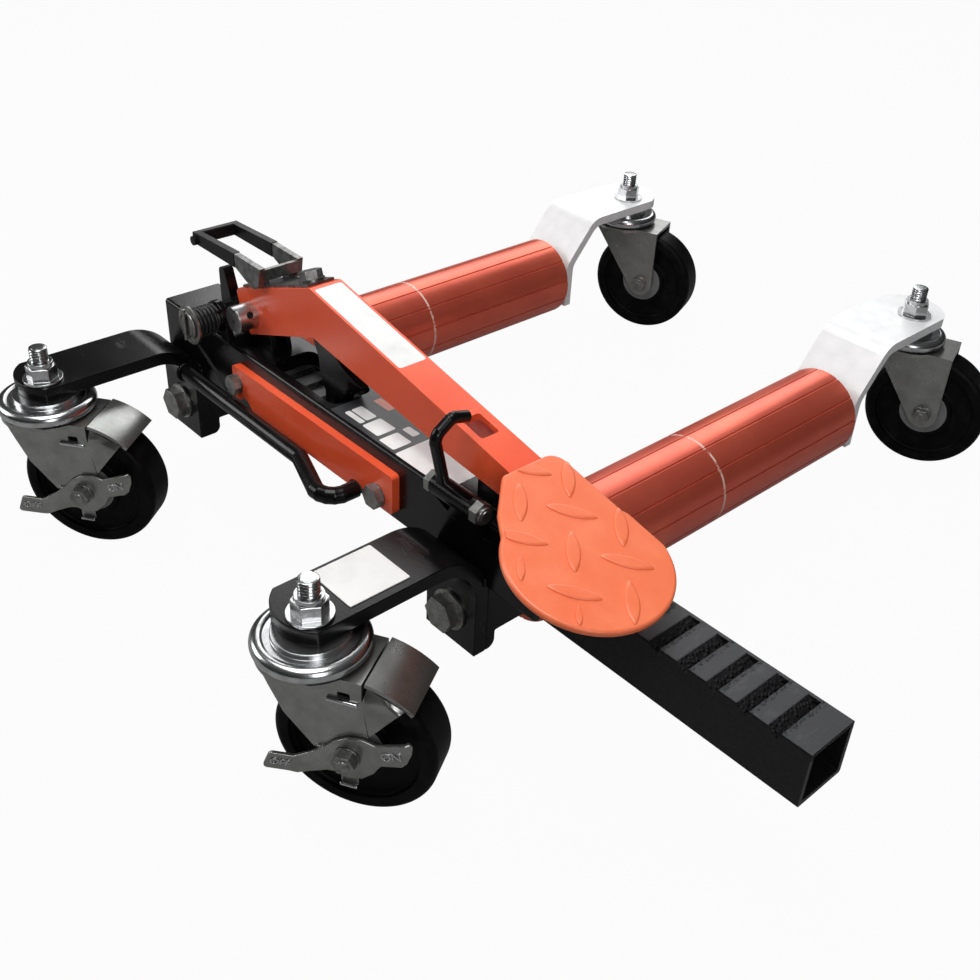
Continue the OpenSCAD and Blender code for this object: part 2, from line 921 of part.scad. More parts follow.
// Two-armed brake lever outside the front fork leg
module brake() {
  y1 = -fork_hw - lever_gap;
  y0 = y1 - lever_t;
  color("#a9acae")
    translate([trail, 0, wheel_r])
      rotate([0, -22, 0])
        difference() {
          union() {
            slab_y(y0, y1) {
              circle(r = 16.5);
              polygon([
                [-38, -8],
                [-38, 6.5],
                [-20, 8],
                [-8, 14.4],
                [12, 11.5],
                [27, 9.5],
                [27, -8.5],
                [12, -11.5],
                [-8, -14.4],
                [-20, -9.5]
              ]);
              rotate(-22)
                soft_rect(-5.5, -24, 5.5, -12, 1.5);
            }
            translate([-37.5, y0, 0])
              rotate([0, 0, 35])
                translate([-16, 0, -7.7])
                  cube([17, lever_t, 13.9]);
            translate([26.5, y0, 0])
              rotate([0, 0, -22])
                slab_y(0, lever_t)
                  soft_rect(-1, -8.2, 19, 9.2, 3);
          }
          pin_y(bolt_d + 2 * axle_fit, y0 - 1, y1 + 1);
        }
}

// Height of the pedal channel's lower edge
function pedal_under(x) =
  lookup(x, [
    [-85, pivot_z - 17],
    [-4, pivot_z + 13.4],
    [56, pivot_z + 4],
    [136.4, pivot_z - 7.9],
    [193, pivot_z - 13.4],
    [pedal_right, pivot_z - 16.5]
  ]);

// Side outline of the pedal, lowered by a wall and open below for the inside
module pedal_side(drop, open) {
  polygon([
    [pedal_left_x - open, pedal_left_z - drop - open * pedal_rise],
    [pedal_bend_x, pedal_bend_z - drop],
    [pedal_right + open, pedal_h0 - pedal_fall * (pedal_right + open) - drop],
    [pedal_right + open, pedal_under(pedal_right) - open],
    [193, pedal_under(193) - open],
    [136.4, pedal_under(136.4) - open],
    [56, pedal_under(56) - open],
    [-4, pedal_under(-4) - open],
    [-85, pedal_under(-85) - open],
    [pedal_left_x + 6 - open, pivot_z - 6 - open]
  ]);
}

// Pedal: a channel open below, bent at its top, with the catch slot,
// the pivot bores and the cross pin of the drive pawl
module pedal_channel() {
  drop = pedal_wall / cos(pedal_rise_a);
  color("#e2401f") {
    difference() {
      slab_y(-pedal_hw, pedal_hw)
        intersection() {
          pedal_side(0, 0);
          union() {
            translate([pivot_x, pivot_z])
              circle(r = 21.5);
            translate([pivot_x, 0])
              square([400, 400]);
          }
        }
      slab_y(-pedal_in, pedal_in)
        pedal_side(drop, 30);
      translate([pivot_x, 0, pivot_z])
        pin_y(pin_d + 2 * axle_fit, -pedal_hw - 1, pedal_hw + 1);
      linear_extrude(400)
        soft_rect(144, -8, 163, 6.5, 2);
    }
    translate([-12, 0, pivot_z + 27])
      pin_y(8, -pedal_in, pedal_in);
  }
}

// Foot plate: a spade-shaped sheet with a round end, lying on the channel's end
module foot_plate() {
  mid_x = 276;
  mid_y = -25.2;
  top_y = 20.6;
  left = 200;
  corner = 10;
  color("#ee5a33")
    translate([0, 0, pedal_h0])
      rotate([0, pedal_tilt, 0])
        linear_extrude(foot_t)
          intersection() {
            union() {
              translate([mid_x, mid_y])
                circle(r = foot_r);
              polygon(concat(
                [
                  for (a = [90 : 15 : 180])
                    [left + corner + corner * cos(a), top_y - corner + corner * sin(a)]
                ],
                [
                  [left, -22],
                  [left + 22, -45],
                  [mid_x - 19, mid_y - 43.5],
                  [mid_x, mid_y],
                  [mid_x, top_y]
                ]
              ));
            }
            translate([left - 10, -200])
              square([200, 200 + top_y + 1.6]);
          }
}

// Flat strip on the pedal's left slope, with the lever's two ears and a flange nut
module pedal_strip() {
  color("#6f7275")
    translate([pedal_left_x, 0, pedal_left_z])
      rotate([0, -pedal_rise_a, 0]) {
        translate([8, -11, 0])
          cube([88, 22, 2]);
        for (y = [-11.3, 8.3])
          slab_y(y, y + 3)
            difference() {
              union() {
                translate([37.5, 6.8])
                  circle(r = 5);
                translate([32.5, 0.5])
                  square([10, 6.3]);
              }
              translate([37.5, 6.8])
                circle(d = 6.1);
            }
        translate([86, 0, 2])
          cylinder(r = 9, h = 1.8);
        translate([86, 0, 2])
          hexagon(14, 7.5);
      }
}

// Place of the release lever's hinge, from the strip's own frame
lever_x = pedal_left_x + 37.5 * cos(pedal_rise_a) - 6.8 * sin(pedal_rise_a);
lever_z = pedal_left_z + 37.5 * sin(pedal_rise_a) + 6.8 * cos(pedal_rise_a);

// Release lever: two steel arms, a hinge pin and a cross plate
module release_lever() {
  color("#5c5e61")
    translate([lever_x, 0, lever_z]) {
      for (y = [-18, 13.5])
        slab_y(y, y + 4.5) {
          circle(r = 6.4);
          polygon([
            [9.6, 11.5],
            [7.4, -1.6],
            [0, -6.4],
            [-10, -3.6],
            [-23, 2],
            [-23, 12]
          ]);
        }
      pin_y(6, -14, 14);
      translate([6.4, -14, 1.5])
        cube([2.8, 28, 8.5]);
    }
}

// Dipped outer half of the release lever: two arms and the cross bar
module lever_grip() {
  color("#101011")
    translate([lever_x, 0, lever_z]) {
      for (y = [-18.4, 13.1])
        slab_y(y, y + 5.3)
          polygon([
            [-23, 1.6],
            [-23, 12.4],
            [-74, 10.2],
            [-78.5, 9.6],
            [-78.5, 2.2],
            [-74, 1.4]
          ]);
      translate([0, -18.4, 0])
        slab_y(0, 36.8)
          soft_rect(-79, 1.8, -73, 10.2, 1.5);
      translate([-76, 0, 4])
        pin_y(7, -20.5, 20.5);
    }
}

// Drive pawl: hangs from the pedal's cross pin and pushes the steep tooth walls
module drive_pawl() {
  half = pedal_in - 0.4;
  hinge_z = pivot_z + 27;
  crest_x = 1.4;
  color("#1c1c1e")
    slab_y(-half, half)
      difference() {
        union() {
          translate([-12, hinge_z])
            circle(r = 9);
          polygon([
            [-20.6, hinge_z - 2],
            [-11, hinge_z - 18],
            [-5.5, hinge_z - 30],
            [-4.5, hinge_z - 40],
            [-1, hinge_z - 49],
            [crest_x, sleeve_top + 0.5],
            [crest_x, pawl_low],
            [crest_x + 10.5, pawl_low],
            [crest_x + 12.5, sleeve_top + 0.5],
            [21, sleeve_top + 0.5],
            [28, sleeve_top + 12],
            [28, sleeve_top + 18],
            [44, sleeve_top + 18.6],
            [25, sleeve_top + 25],
            [10, hinge_z - 18],
            [-3.4, hinge_z + 2]
          ]);
          translate([14.5, sleeve_top + 14])
            circle(r = 13.5);
        }
        translate([-12, hinge_z])
          circle(d = 8 + 2 * axle_fit);
      }
}

// Holding pawl: a hub on the shaft, a nose into the teeth and a thumb tab
module holding_pawl() {
  hub_hw_p = sleeve_hw - sleeve_wall - 0.3;
  color("#1a1a1c")
    difference() {
      union() {
        translate([shaft_x, 0, shaft_z])
          pin_y(19, -hub_hw_p, hub_hw_p);
        slab_y(-3.5, 3.5)
          polygon([
            [shaft_x - 2, shaft_z - 8],
            [shaft_x + 15, pawl_low],
            [shaft_x + 24, pawl_low],
            [shaft_x + 22, shaft_z - 12],
            [shaft_x + 7, shaft_z + 4]
          ]);
        slab_y(-12, -4) {
          polygon([
            [shaft_x - 11, shaft_z],
            [shaft_x - 11.4, shaft_z + 30],
            [shaft_x - 3.4, shaft_z + 30],
            [shaft_x + 5.6, shaft_z + 4],
            [shaft_x + 7, shaft_z]
          ]);
          translate([shaft_x - 7.4, shaft_z + 30])
            circle(r = 4);
        }
      }
      translate([shaft_x, 0, shaft_z])
        pin_y(shaft_d + 2 * axle_fit, -hub_hw_p - 1, hub_hw_p + 1);
    }
}

// Round wire that starts along Z: runs of [length, turn towards Y, bend radius],
// each bend made of short straight pieces with ball joints between them
module bent_wire(d, runs, i = 0) {
  run = runs[i];
  pieces = max(1, ceil(abs(run[1]) / 22));
  part = run[1] / pieces;
  chord = 2 * run[2] * tan(abs(part) / 2);
  last = i == len(runs) - 1;
  cylinder(d = d, h = run[0] + (last ? 0 : chord / 2));
  if (!last)
    translate([0, 0, run[0] + chord / 2])
      wire_bend(d, runs, i, pieces, part, chord);
}
module wire_bend(d, runs, i, left, part, chord) {
  sphere(d = d + 0.16);
  rotate([-part, 0, 0])
    if (left > 1) {
      cylinder(d = d, h = chord);
      translate([0, 0, chord])
        wire_bend(d, runs, i, left - 1, part, chord);
    } else {
      next = concat([[runs[i + 1][0] + chord / 2, runs[i + 1][1], runs[i + 1][2]]],
                    [for (k = [i + 2 : 1 : len(runs) - 1]) runs[k]]);
      bent_wire(d, next);
    }
}

// Guide rod: welded to the near sliding arm and kinked back to the guard bar's notch
module guide_rod() {
  x0 = xa + arm_w / 2;
  kink = 20;
  swing = 36;
  turn_r = 13;
  tip_y = rod_y - 20 * (1 - cos(kink)) - swing * sin(kink) + turn_r * cos(kink);
  color("#121213")
    translate([x0, rod_y, rod_z])
      rotate([0, 90, 0])
        bent_wire(rod_d, [
          [8 - x0, -kink, 20],
          [swing, 90 + kink, turn_r],
          [-sleeve_hw - guard_t - 0.5 - tip_y, 0, 0]
        ]);
}

// Hinge of the pedal catch: two lugs on the sleeve, a bolt and a lock nut
module hook_hinge() {
  color("#17181a") {
    for (x = [hook_x - 7.5, hook_x + 25.5])
      slab_x(x, x + 3.5)
        difference() {
          union() {
            translate([hook_y, hook_z])
              circle(r = 7);
            polygon([
              [hook_y - 5, hook_z - 5],
              [-sleeve_hw, sleeve_top - 12],
              [-sleeve_hw, sleeve_top - 2.5],
              [-sleeve_hw + 2.5, sleeve_top],
              [-sleeve_hw + 10, sleeve_top],
              [hook_y + 4, hook_z + 5.7]
            ]);
          }
          translate([-sleeve_hw, sleeve_low])
            square([20, sleeve_top - sleeve_low - 2.5]);
          translate([-sleeve_hw + 2.5, sleeve_top - 2.5])
            circle(r = 2.5);
          translate([-sleeve_hw + 2.5, sleeve_top - 10])
            square([20, 10]);
        }
    translate([0, hook_y, hook_z]) {
      pin_x(8, hook_x - 8, hook_x + 38);
      translate([hook_x - 12.5, 0, 0])
        rotate([0, 90, 0])
          hexagon(13, 5);
      translate([hook_x + 29, 0, 0])
        rotate([0, 90, 0])
          hexagon(13, 6);
      pin_x(11, hook_x + 35 - eps, hook_x + 37.2);
    }
  }
}

// Pedal catch: a knuckle on the hinge bolt and a bent wire hook
module catch_hook() {
  color("#131315")
    translate([0, hook_y, hook_z])
      rotate([hook_out, 0, 0])
        difference() {
          union() {
            pin_x(14, hook_x - 3.9, hook_x + 25.2);
            translate([hook_x, 0, 0])
              rotate([-14, 0, 0])
                translate([0, 0, 4.3])
                  bent_wire(hook_d, [[31, 70, 8], [7, 50, 7], [9, 0, 0]]);
          }
          pin_x(8 + 2 * axle_fit, hook_x - 5, hook_x + 27);
        }
}

// Bare plate on the near right arm
module blank_plate() {
  color("#e9e9e6")
    translate([0, 0, arm_top])
      linear_extrude(0.8)
        soft_rect(xb - 20.8, -122, xb + 18, -79, 1);
}

translate([-centre_x, -centre_y, 0]) {
  sleeve();
  pivot_plates();
  pawl_ears();
  pedal_rest();
  guard_bar();
  guard_bolts();
  bracket(xb);  // bracket_b
  near_arm(xb);  // near_arm_b
  blank_plate();
  far_arm(xb);  // far_arm_b
  axle(xb);  // axle_b
  translate([xb + near_dx, near_y, 0]) stem(near_race, arm_low);  // stem_near_b
  translate([xb + far_dx, far_y, 0]) stem(far_race, far_under);  // stem_far_b
  pawl_shaft();
  shaft_clip();
  pawl_spring();
  pivot_pin();
  hook_hinge();
  rack_bar();
  slider_block();
  bracket(xa);  // bracket_a
  near_arm(xa);  // near_arm_a
  far_arm(xa);  // far_arm_a
  axle(xa);  // axle_a
  translate([xa + near_dx, near_y, 0]) stem(near_race, arm_low);  // stem_near_a
  translate([xa + far_dx, far_y, 0]) stem(far_race, far_under);  // stem_far_a
  guide_rod();
  roller(xa);  // roller_a
  plugs(xa);  // plugs_a
  roller(xb);  // roller_b
  plugs(xb);  // plugs_b
  at_caster(xa + near_dx, near_y, turn_near_a) fork_near();  // fork_near_a
  at_caster(xa + near_dx, near_y, turn_near_a) caster_bolt(lever_gap + lever_t + 0.2);  // bolt_near_a
  at_caster(xa + near_dx, near_y, turn_near_a) tyre();  // tyre_near_a
  at_caster(xa + near_dx, near_y, turn_near_a) hub();  // hub_near_a
  at_caster(xa + near_dx, near_y, turn_near_a) brake();  // brake_a
  at_caster(xb + near_dx, near_y, turn_near_b) fork_near();  // fork_near_b
  at_caster(xb + near_dx, near_y, turn_near_b) caster_bolt(lever_gap + lever_t + 0.2);  // bolt_near_b
  at_caster(xb + near_dx, near_y, turn_near_b) tyre();  // tyre_near_b
  at_caster(xb + near_dx, near_y, turn_near_b) hub();  // hub_near_b
  at_caster(xb + near_dx, near_y, turn_near_b) brake();  // brake_b
  at_caster(xa + far_dx, far_y, turn_far_a) fork_far();  // fork_far_a
  at_caster(xa + far_dx, far_y, turn_far_a) caster_bolt(0.1);  // bolt_far_a
  at_caster(xa + far_dx, far_y, turn_far_a) tyre();  // tyre_far_a
  at_caster(xa + far_dx, far_y, turn_far_a) hub();  // hub_far_a
  at_caster(xb + far_dx, far_y, turn_far_b) fork_far();  // fork_far_b
  at_caster(xb + far_dx, far_y, turn_far_b) caster_bolt(0.1);  // bolt_far_b
  at_caster(xb + far_dx, far_y, turn_far_b) tyre();  // tyre_far_b
  at_caster(xb + far_dx, far_y, turn_far_b) hub();  // hub_far_b
  pedal_channel();
  foot_plate();
  pedal_strip();
  drive_pawl();
  holding_pawl();
  release_lever();
  lever_grip();
  catch_hook();
}
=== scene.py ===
import json
import math

import bmesh
import bpy
from mathutils import Matrix, Vector

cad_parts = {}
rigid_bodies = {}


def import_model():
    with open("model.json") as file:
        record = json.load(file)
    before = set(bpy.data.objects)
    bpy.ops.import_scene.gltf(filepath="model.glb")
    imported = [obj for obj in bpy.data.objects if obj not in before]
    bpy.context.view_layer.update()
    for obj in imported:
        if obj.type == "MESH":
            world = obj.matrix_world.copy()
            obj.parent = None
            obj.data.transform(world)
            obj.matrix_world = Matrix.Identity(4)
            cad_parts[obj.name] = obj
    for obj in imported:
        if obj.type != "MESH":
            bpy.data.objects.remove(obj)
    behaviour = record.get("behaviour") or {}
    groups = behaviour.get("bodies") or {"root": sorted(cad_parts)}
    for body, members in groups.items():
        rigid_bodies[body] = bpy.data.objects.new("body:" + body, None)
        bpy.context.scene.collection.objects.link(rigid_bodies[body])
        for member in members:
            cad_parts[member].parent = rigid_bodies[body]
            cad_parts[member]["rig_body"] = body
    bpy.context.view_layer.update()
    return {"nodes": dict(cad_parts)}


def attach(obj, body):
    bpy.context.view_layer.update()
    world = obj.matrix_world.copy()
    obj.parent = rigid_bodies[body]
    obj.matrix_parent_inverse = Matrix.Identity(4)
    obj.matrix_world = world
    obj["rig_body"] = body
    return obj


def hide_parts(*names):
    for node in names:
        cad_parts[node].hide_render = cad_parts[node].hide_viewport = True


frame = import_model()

# The camera stands where the photograph was taken, in front of the pedal side
# and above it. Its place was fitted to the straight edges in the picture.
camera = bpy.data.objects.new("camera", bpy.data.cameras.new("camera"))
bpy.context.scene.collection.objects.link(camera)
right = Vector((0.67400224, 0.73705922, 0.04964575))
down = Vector((0.44176406, -0.34828204, -0.82676728))
ahead = Vector((-0.59208572, 0.5791747, -0.56034915))
camera.matrix_world = Matrix.Translation((0.489815, -0.587598, 0.563338)) @ Matrix(
    (right, -down, -ahead)).transposed().to_4x4()
camera.data.sensor_width = 36
camera.data.lens = 43.394
camera.data.shift_x = -0.0099
camera.data.shift_y = -0.01178
camera.data.clip_start, camera.data.clip_end = 0.02, 60
bpy.context.scene.camera = camera
bpy.context.scene.view_settings.view_transform = "Standard"


# Black powder coat over welded steel: sleeve, brackets, near arms, ears and
# plates. It is satin, with a fine orange peel, dust and a few scuffs.

# Finishes are built from sums of readings: a reading is one socket of a node,
# and adding or multiplying readings adds Math nodes to the finish.
class Reading:
    def __init__(self, nodes, socket):
        self.nodes, self.socket = nodes, socket

    def math(self, kind, first, second=0.0):
        return self.nodes.node("ShaderNodeMath", {"operation": kind}, {0: first, 1: second})

    def __add__(self, other):
        return self.math("ADD", self, other)

    __radd__ = __add__

    def __sub__(self, other):
        return self.math("SUBTRACT", self, other)

    def __rsub__(self, other):
        return self.math("SUBTRACT", other, self)

    def __mul__(self, other):
        return self.math("MULTIPLY", self, other)

    __rmul__ = __mul__

    def __abs__(self):
        return self.math("ABSOLUTE", self)

    def fraction(self):
        return self.math("FRACT", self)

    def least(self, other):
        return self.math("MINIMUM", self, other)

    def rise(self, low, high):
        return self.nodes.node(
            "ShaderNodeMapRange", {"interpolation_type": "SMOOTHSTEP"},
            {0: self, 1: low, 2: high, 3: 0.0, 4: 1.0})


class Nodes:
    def __init__(self, tree):
        self.tree = tree

    def node(self, kind, settings=(), sockets=(), out=0):
        made = self.tree.nodes.new(kind)
        for key, value in dict(settings).items():
            setattr(made, key, value)
        for key, value in dict(sockets).items():
            self.plug(value, made.inputs[key])
        return Reading(self, made.outputs[out])

    def plug(self, value, socket):
        if isinstance(value, Reading):
            self.tree.links.new(value.socket, socket)
        else:
            socket.default_value = value


class Finish(Nodes):
    def __init__(self, name, colour, rough, metal=0.0, coat=0.0, sheen=0.5):
        self.material = bpy.data.materials.new(name)
        self.material.use_nodes = True
        super().__init__(self.material.node_tree)
        self.shader = self.tree.nodes["Principled BSDF"]
        self.feed("Base Color", (*colour, 1.0))
        self.feed("Roughness", rough)
        self.feed("Metallic", metal)
        self.feed("Coat Weight", coat)
        self.shader.inputs["Coat Roughness"].default_value = 0.12
        self.shader.inputs["Specular IOR Level"].default_value = sheen
        self.place = self.node("ShaderNodeTexCoord", out="Object")
        self.x, self.y, self.z = (
            self.node("ShaderNodeSeparateXYZ", {}, {0: self.place}, out=k) for k in range(3))

    def feed(self, socket, value):
        self.plug(value, self.shader.inputs[socket])

    # The width of one blotch or cell is given in millimetres.
    def noise(self, width, detail=4.0, rough=0.55, stretch=(1, 1, 1)):
        spread = self.node("ShaderNodeMapping", {}, {0: self.place, 3: stretch})
        return self.node("ShaderNodeTexNoise", {}, {
            "Vector": spread, "Scale": 1000 / width, "Detail": detail, "Roughness": rough})

    def cells(self, width):
        return self.node("ShaderNodeTexVoronoi", {}, {
            "Vector": self.place, "Scale": 1000 / width})

    def blend(self, mask, under, over):
        under = under if isinstance(under, Reading) else (*under, 1.0)
        over = over if isinstance(over, Reading) else (*over, 1.0)
        return self.node("ShaderNodeMix", {"data_type": "RGBA"},
                         {0: mask, 6: under, 7: over}, out=2)

    def paint(self, mask, under, over):
        self.feed("Base Color", self.blend(mask, under, over))

    # The height of a bump is given in millimetres too.
    def bump(self, relief, height, strength=1.0):
        self.feed("Normal", self.node("ShaderNodeBump", {}, {
            "Strength": strength, "Distance": height / 1000, "Height": relief}))


# Sheet, bar and castings have slightly round edges from rolling, grinding and
# paint. soften() makes a copy of a solid, rounds its edges by width and shows
# that copy in its place, with the finish that is named.
same_place, no_area, same_plane = 2e-6, 1e-6, 0.6


def pick_only(piece):
    bpy.ops.object.select_all(action="DESELECT")
    piece.select_set(True)
    bpy.context.view_layer.objects.active = piece


# Face normals that follow the large faces keep flat sides flat at their edges.
def smooth_edges(piece, angle):
    bpy.ops.object.shade_smooth_by_angle(angle=math.radians(angle))
    flat = piece.modifiers.new("flat", "WEIGHTED_NORMAL")
    flat.weight, flat.keep_sharp = 80, True
    bpy.ops.object.modifier_apply(modifier="flat")


def soften(node, finish, width, steps=2, angle=32):
    solid = frame["nodes"][node]
    mesh = solid.data.copy()
    mesh.materials.clear()
    mesh.materials.append(finish.material)
    piece = bpy.data.objects.new(node + "_finished", mesh)
    bpy.context.scene.collection.objects.link(piece)
    pick_only(piece)
    shape = bmesh.new()
    shape.from_mesh(mesh)
    bmesh.ops.remove_doubles(shape, verts=shape.verts, dist=same_place)
    bmesh.ops.dissolve_degenerate(shape, dist=no_area, edges=shape.edges)
    bmesh.ops.dissolve_limit(shape, angle_limit=math.radians(same_plane), verts=shape.verts,
                             edges=shape.edges, use_dissolve_boundaries=False)
    for face in shape.faces:
        face.material_index = 0
        face.smooth = True
    shape.to_mesh(mesh)
    shape.free()
    if width:
        edge = piece.modifiers.new("edge", "BEVEL")
        edge.width, edge.segments = width / 1000, steps
        edge.limit_method, edge.angle_limit = "ANGLE", math.radians(angle)
        edge.use_clamp_overlap = True
        edge.miter_outer = "MITER_ARC"
        bpy.ops.object.modifier_apply(modifier="edge")
    smooth_edges(piece, angle)
    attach(piece, solid["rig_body"])
    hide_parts(node)
    return piece


black = Finish("black powder coat", (0.005, 0.005, 0.006), 0.3, sheen=0.24)
peel = black.noise(1.6, 2.0)
blotch = black.noise(38, 5.0, 0.6)
scuff = black.noise(9, 6.0, 0.7, (0.25, 1, 1)).rise(0.6, 0.72)
black.paint(
    scuff * 0.35,
    black.blend(blotch.rise(0.45, 0.75), (0.003, 0.003, 0.0035), (0.007, 0.007, 0.008)),
    (0.05, 0.05, 0.052))
black.feed("Roughness", blotch * 0.12 + scuff * 0.12 + 0.17)
black.bump(peel + blotch * 0.4, 0.1, 0.7)

soften("sleeve", black, 0.8)
soften("slider_block", black, 0.9)
soften("pivot_plates", black, 0.6)
soften("pawl_ears", black, 0.7)
soften("pedal_rest", black, 0.8)
for side in "ab":
    soften("bracket_" + side, black, 1.0)
    soften("near_arm_" + side, black, 1.6, 3)
hinge = soften("hook_hinge", black, 0.5)
soften("guide_rod", black, 0, angle=50)
soften("catch_hook", black, 0, angle=50)
soften("drive_pawl", black, 1.2, 3)
soften("holding_pawl", black, 0.7)

# Weld beads where brackets, arms, rod and lugs join the sleeve: each is a row
# of small overlapping scales laid along its seam, painted with the frame.
bead_step, bead_sides = 0.55, 10

# Everything is set out in millimetres on the drawing, whose middle lies here in
# the frame. at() turns a place on the drawing into the frame's metres.
middle_x, middle_y = 108.75, 170.39


def at(x, y, z):
    return Vector(((x - middle_x) / 1000, (y - middle_y) / 1000, z / 1000))


# A circle of corners round a point of a route, square to the way it runs.
def ring_round(shape, point, across, up, radius, sides):
    turns = [k * math.tau / sides for k in range(sides)]
    return [shape.verts.new(at(*(point + radius * (math.cos(t) * across + math.sin(t) * up))))
            for t in turns]


def join_rings(shape, low, high):
    count = len(low)
    for k in range(count):
        m = (k + 1) % count
        shape.faces.new((low[k], low[m], high[m], high[k]))


# The finished shape becomes an object with one finish.
def show(name, shape, finish):
    mesh = bpy.data.meshes.new(name)
    shape.to_mesh(mesh)
    shape.free()
    mesh.materials.append(finish.material)
    piece = bpy.data.objects.new(name, mesh)
    bpy.context.scene.collection.objects.link(piece)
    return piece


def bead(name, body, route, size, closed=False):
    steps = [Vector(p) for p in route]
    if closed:
        steps.append(steps[0])
    points = []
    for start, end in zip(steps, steps[1:]):
        count = max(1, round((end - start).length / bead_step))
        points += [start.lerp(end, k / count) for k in range(count)]
    if not closed:
        points.append(steps[-1])
    shape = bmesh.new()
    rings = []
    far = 0.0
    for k, point in enumerate(points):
        before, after = points[k - 1], points[(k + 1) % len(points)]
        if not closed:
            before, after = points[max(k - 1, 0)], points[min(k + 1, len(points) - 1)]
        along = (after - before).normalized()
        across = along.cross(Vector((0.31, 0.42, 0.85))).normalized()
        far += (after - before).length / 2
        # each scale swells and falls, and the welder's hand wavers a little
        scale = (far / (size * 0.75)) % 1
        swell = 0.2 * math.sqrt(max(0, 1 - (2 * scale - 1) ** 2))
        waver = 0.1 * math.sin(far * 0.9 + size * 7) + 0.06 * math.sin(far * 2.7)
        radius = size * (0.8 + swell + waver * 0.5)
        if not closed and k in (0, len(points) - 1):
            radius *= 0.45
        rings.append(ring_round(shape, point, across, along.cross(across), radius, bead_sides))
    for low, high in zip(rings, rings[1:]):
        join_rings(shape, low, high)
    if closed:
        join_rings(shape, rings[-1], rings[0])
    else:
        shape.faces.new(rings[0][::-1])
        shape.faces.new(rings[-1])
    bmesh.ops.recalc_face_normals(shape, faces=shape.faces)
    for face in shape.faces:
        face.smooth = True
    piece = show(name, shape, black)
    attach(piece, body)


sleeve_top = 147.5
for side, x, body in (("a", -166, "sliding_half"), ("b", 166, "sleeve_half")):
    bead("weld_arm_%s_top" % side, body,
         [(x - 22.5, -24.8, 106.2), (x + 22.5, -24.8, 106.2)], 2.4)
    for end, edge_x in (("left", x - 24), ("right", x + 24)):
        bead("weld_arm_%s_side_%s" % (side, end), body,
             [(edge_x, -25.0, 99.2), (edge_x, -25.0, 105.2)], 1.7)
        bead("weld_pad_%s_%s" % (side, end), body,
             [(edge_x, -19, 97.6), (edge_x, 22, 97.6)], 2.0)
bead("weld_rest_right", "sleeve_half",
     [(196.2, -11.5, sleeve_top + 0.6), (196.2, 11.5, sleeve_top + 0.6)], 1.7)
bead("weld_rest_front", "sleeve_half",
     [(167.5, -13, sleeve_top + 0.6), (195, -13, sleeve_top + 0.6)], 1.5)
for end, y in (("front", -23.4), ("back", 23.4)):
    bead("weld_ear_" + end, "sleeve_half",
         [(-138.5, y, sleeve_top - 0.6), (-97, y, sleeve_top - 0.6)], 1.5)
for x in (149.4, 153.1, 182.4, 186.1):
    bead("weld_lug_%d" % x, "sleeve_half",
         [(x, -21.5, sleeve_top + 0.2), (x, -15, sleeve_top + 0.2)], 0.9)
rod_turns = [k * math.tau / 20 for k in range(20)]
bead("weld_rod", "sliding_half",
     [(-141.6, -39 + 6.4 * math.cos(t), 108 + 6.4 * math.sin(t)) for t in rod_turns],
     1.5, closed=True)

# The toothed bar is cut by torch and painted over. Its crests are scraped smooth,
# and their whole top face is painted a lighter grey as a painted sheen of the light
# from above, with scraped grey streaks of wear over it; slag beads lie in each notch
# and along its steep side.
tooth_pitch, first_tooth = 20, 291.25
tooth = Finish("rough black rack", (0.014, 0.014, 0.015), 0.5, sheen=0.18)
spatter = tooth.cells(2.6)
grain = tooth.noise(1.6, 6.0, 0.7)
lump = tooth.noise(4.5, 5.0, 0.65)
crest = tooth.z.rise(0.1361, 0.1364)
wall = abs(tooth.y + middle_y / 1000).rise(0.0183, 0.0187)
notch = tooth.z.rise(0.1308, 0.1316) * (1 - crest) * (1 - wall)
past_step = ((tooth.x * 1000 - first_tooth) * (1 / tooth_pitch)).fraction() * tooth_pitch
past_step = past_step + (lump - 0.5) * 5
lip = past_step.rise(0.2, 1.2) * (1 - past_step.rise(2.6, 4.8)) * crest
rough_cut = (notch + lip).least(1.0)
slag = rough_cut * (1 - spatter.rise(0.1, 0.6))
scrape = tooth.noise(7, 6.0, 0.75, (1, 0.3, 1)).rise(0.5, 0.72) * crest * (1 - lip)
# the lighter grey over the whole top face (crest) is a painted sheen; scrape adds real scraped
# streaks
tooth.paint(
    crest * 0.55 + scrape * 0.35,
    tooth.blend(grain.rise(0.35, 0.75), (0.006, 0.006, 0.007), (0.014, 0.014, 0.016)),
    (0.085, 0.087, 0.092))
tooth.feed("Roughness", grain * 0.22 + rough_cut * 0.2 + 0.3)
tooth.bump(grain * 0.12 + slag * 1.6 + lump * notch * 1.5, 0.7, 1.0)
soften("rack_bar", tooth, 0.4, 2)

# Orange enamel on the pedal and the guard bar: glossy, a little darker where
# hands and shoes rub it, with fine chips along the way.
orange = Finish("orange enamel", (0.87, 0.115, 0.04), 0.32, coat=0.08)
flow = orange.noise(55, 3.0)
chip = orange.noise(4.5, 6.0, 0.75).rise(0.7, 0.76)
orange.paint(
    chip * 0.7,
    orange.blend(flow.rise(0.3, 0.7), (0.85, 0.092, 0.03), (0.91, 0.112, 0.038)),
    (0.30, 0.04, 0.015))
orange.feed("Roughness", flow * 0.12 + chip * 0.2 + 0.2)
orange.bump(orange.noise(2.4, 2.0) + flow, 0.08, 0.5)
soften("pedal_channel", orange, 1.6, 3)
soften("guard_bar", orange, 1.4, 3)

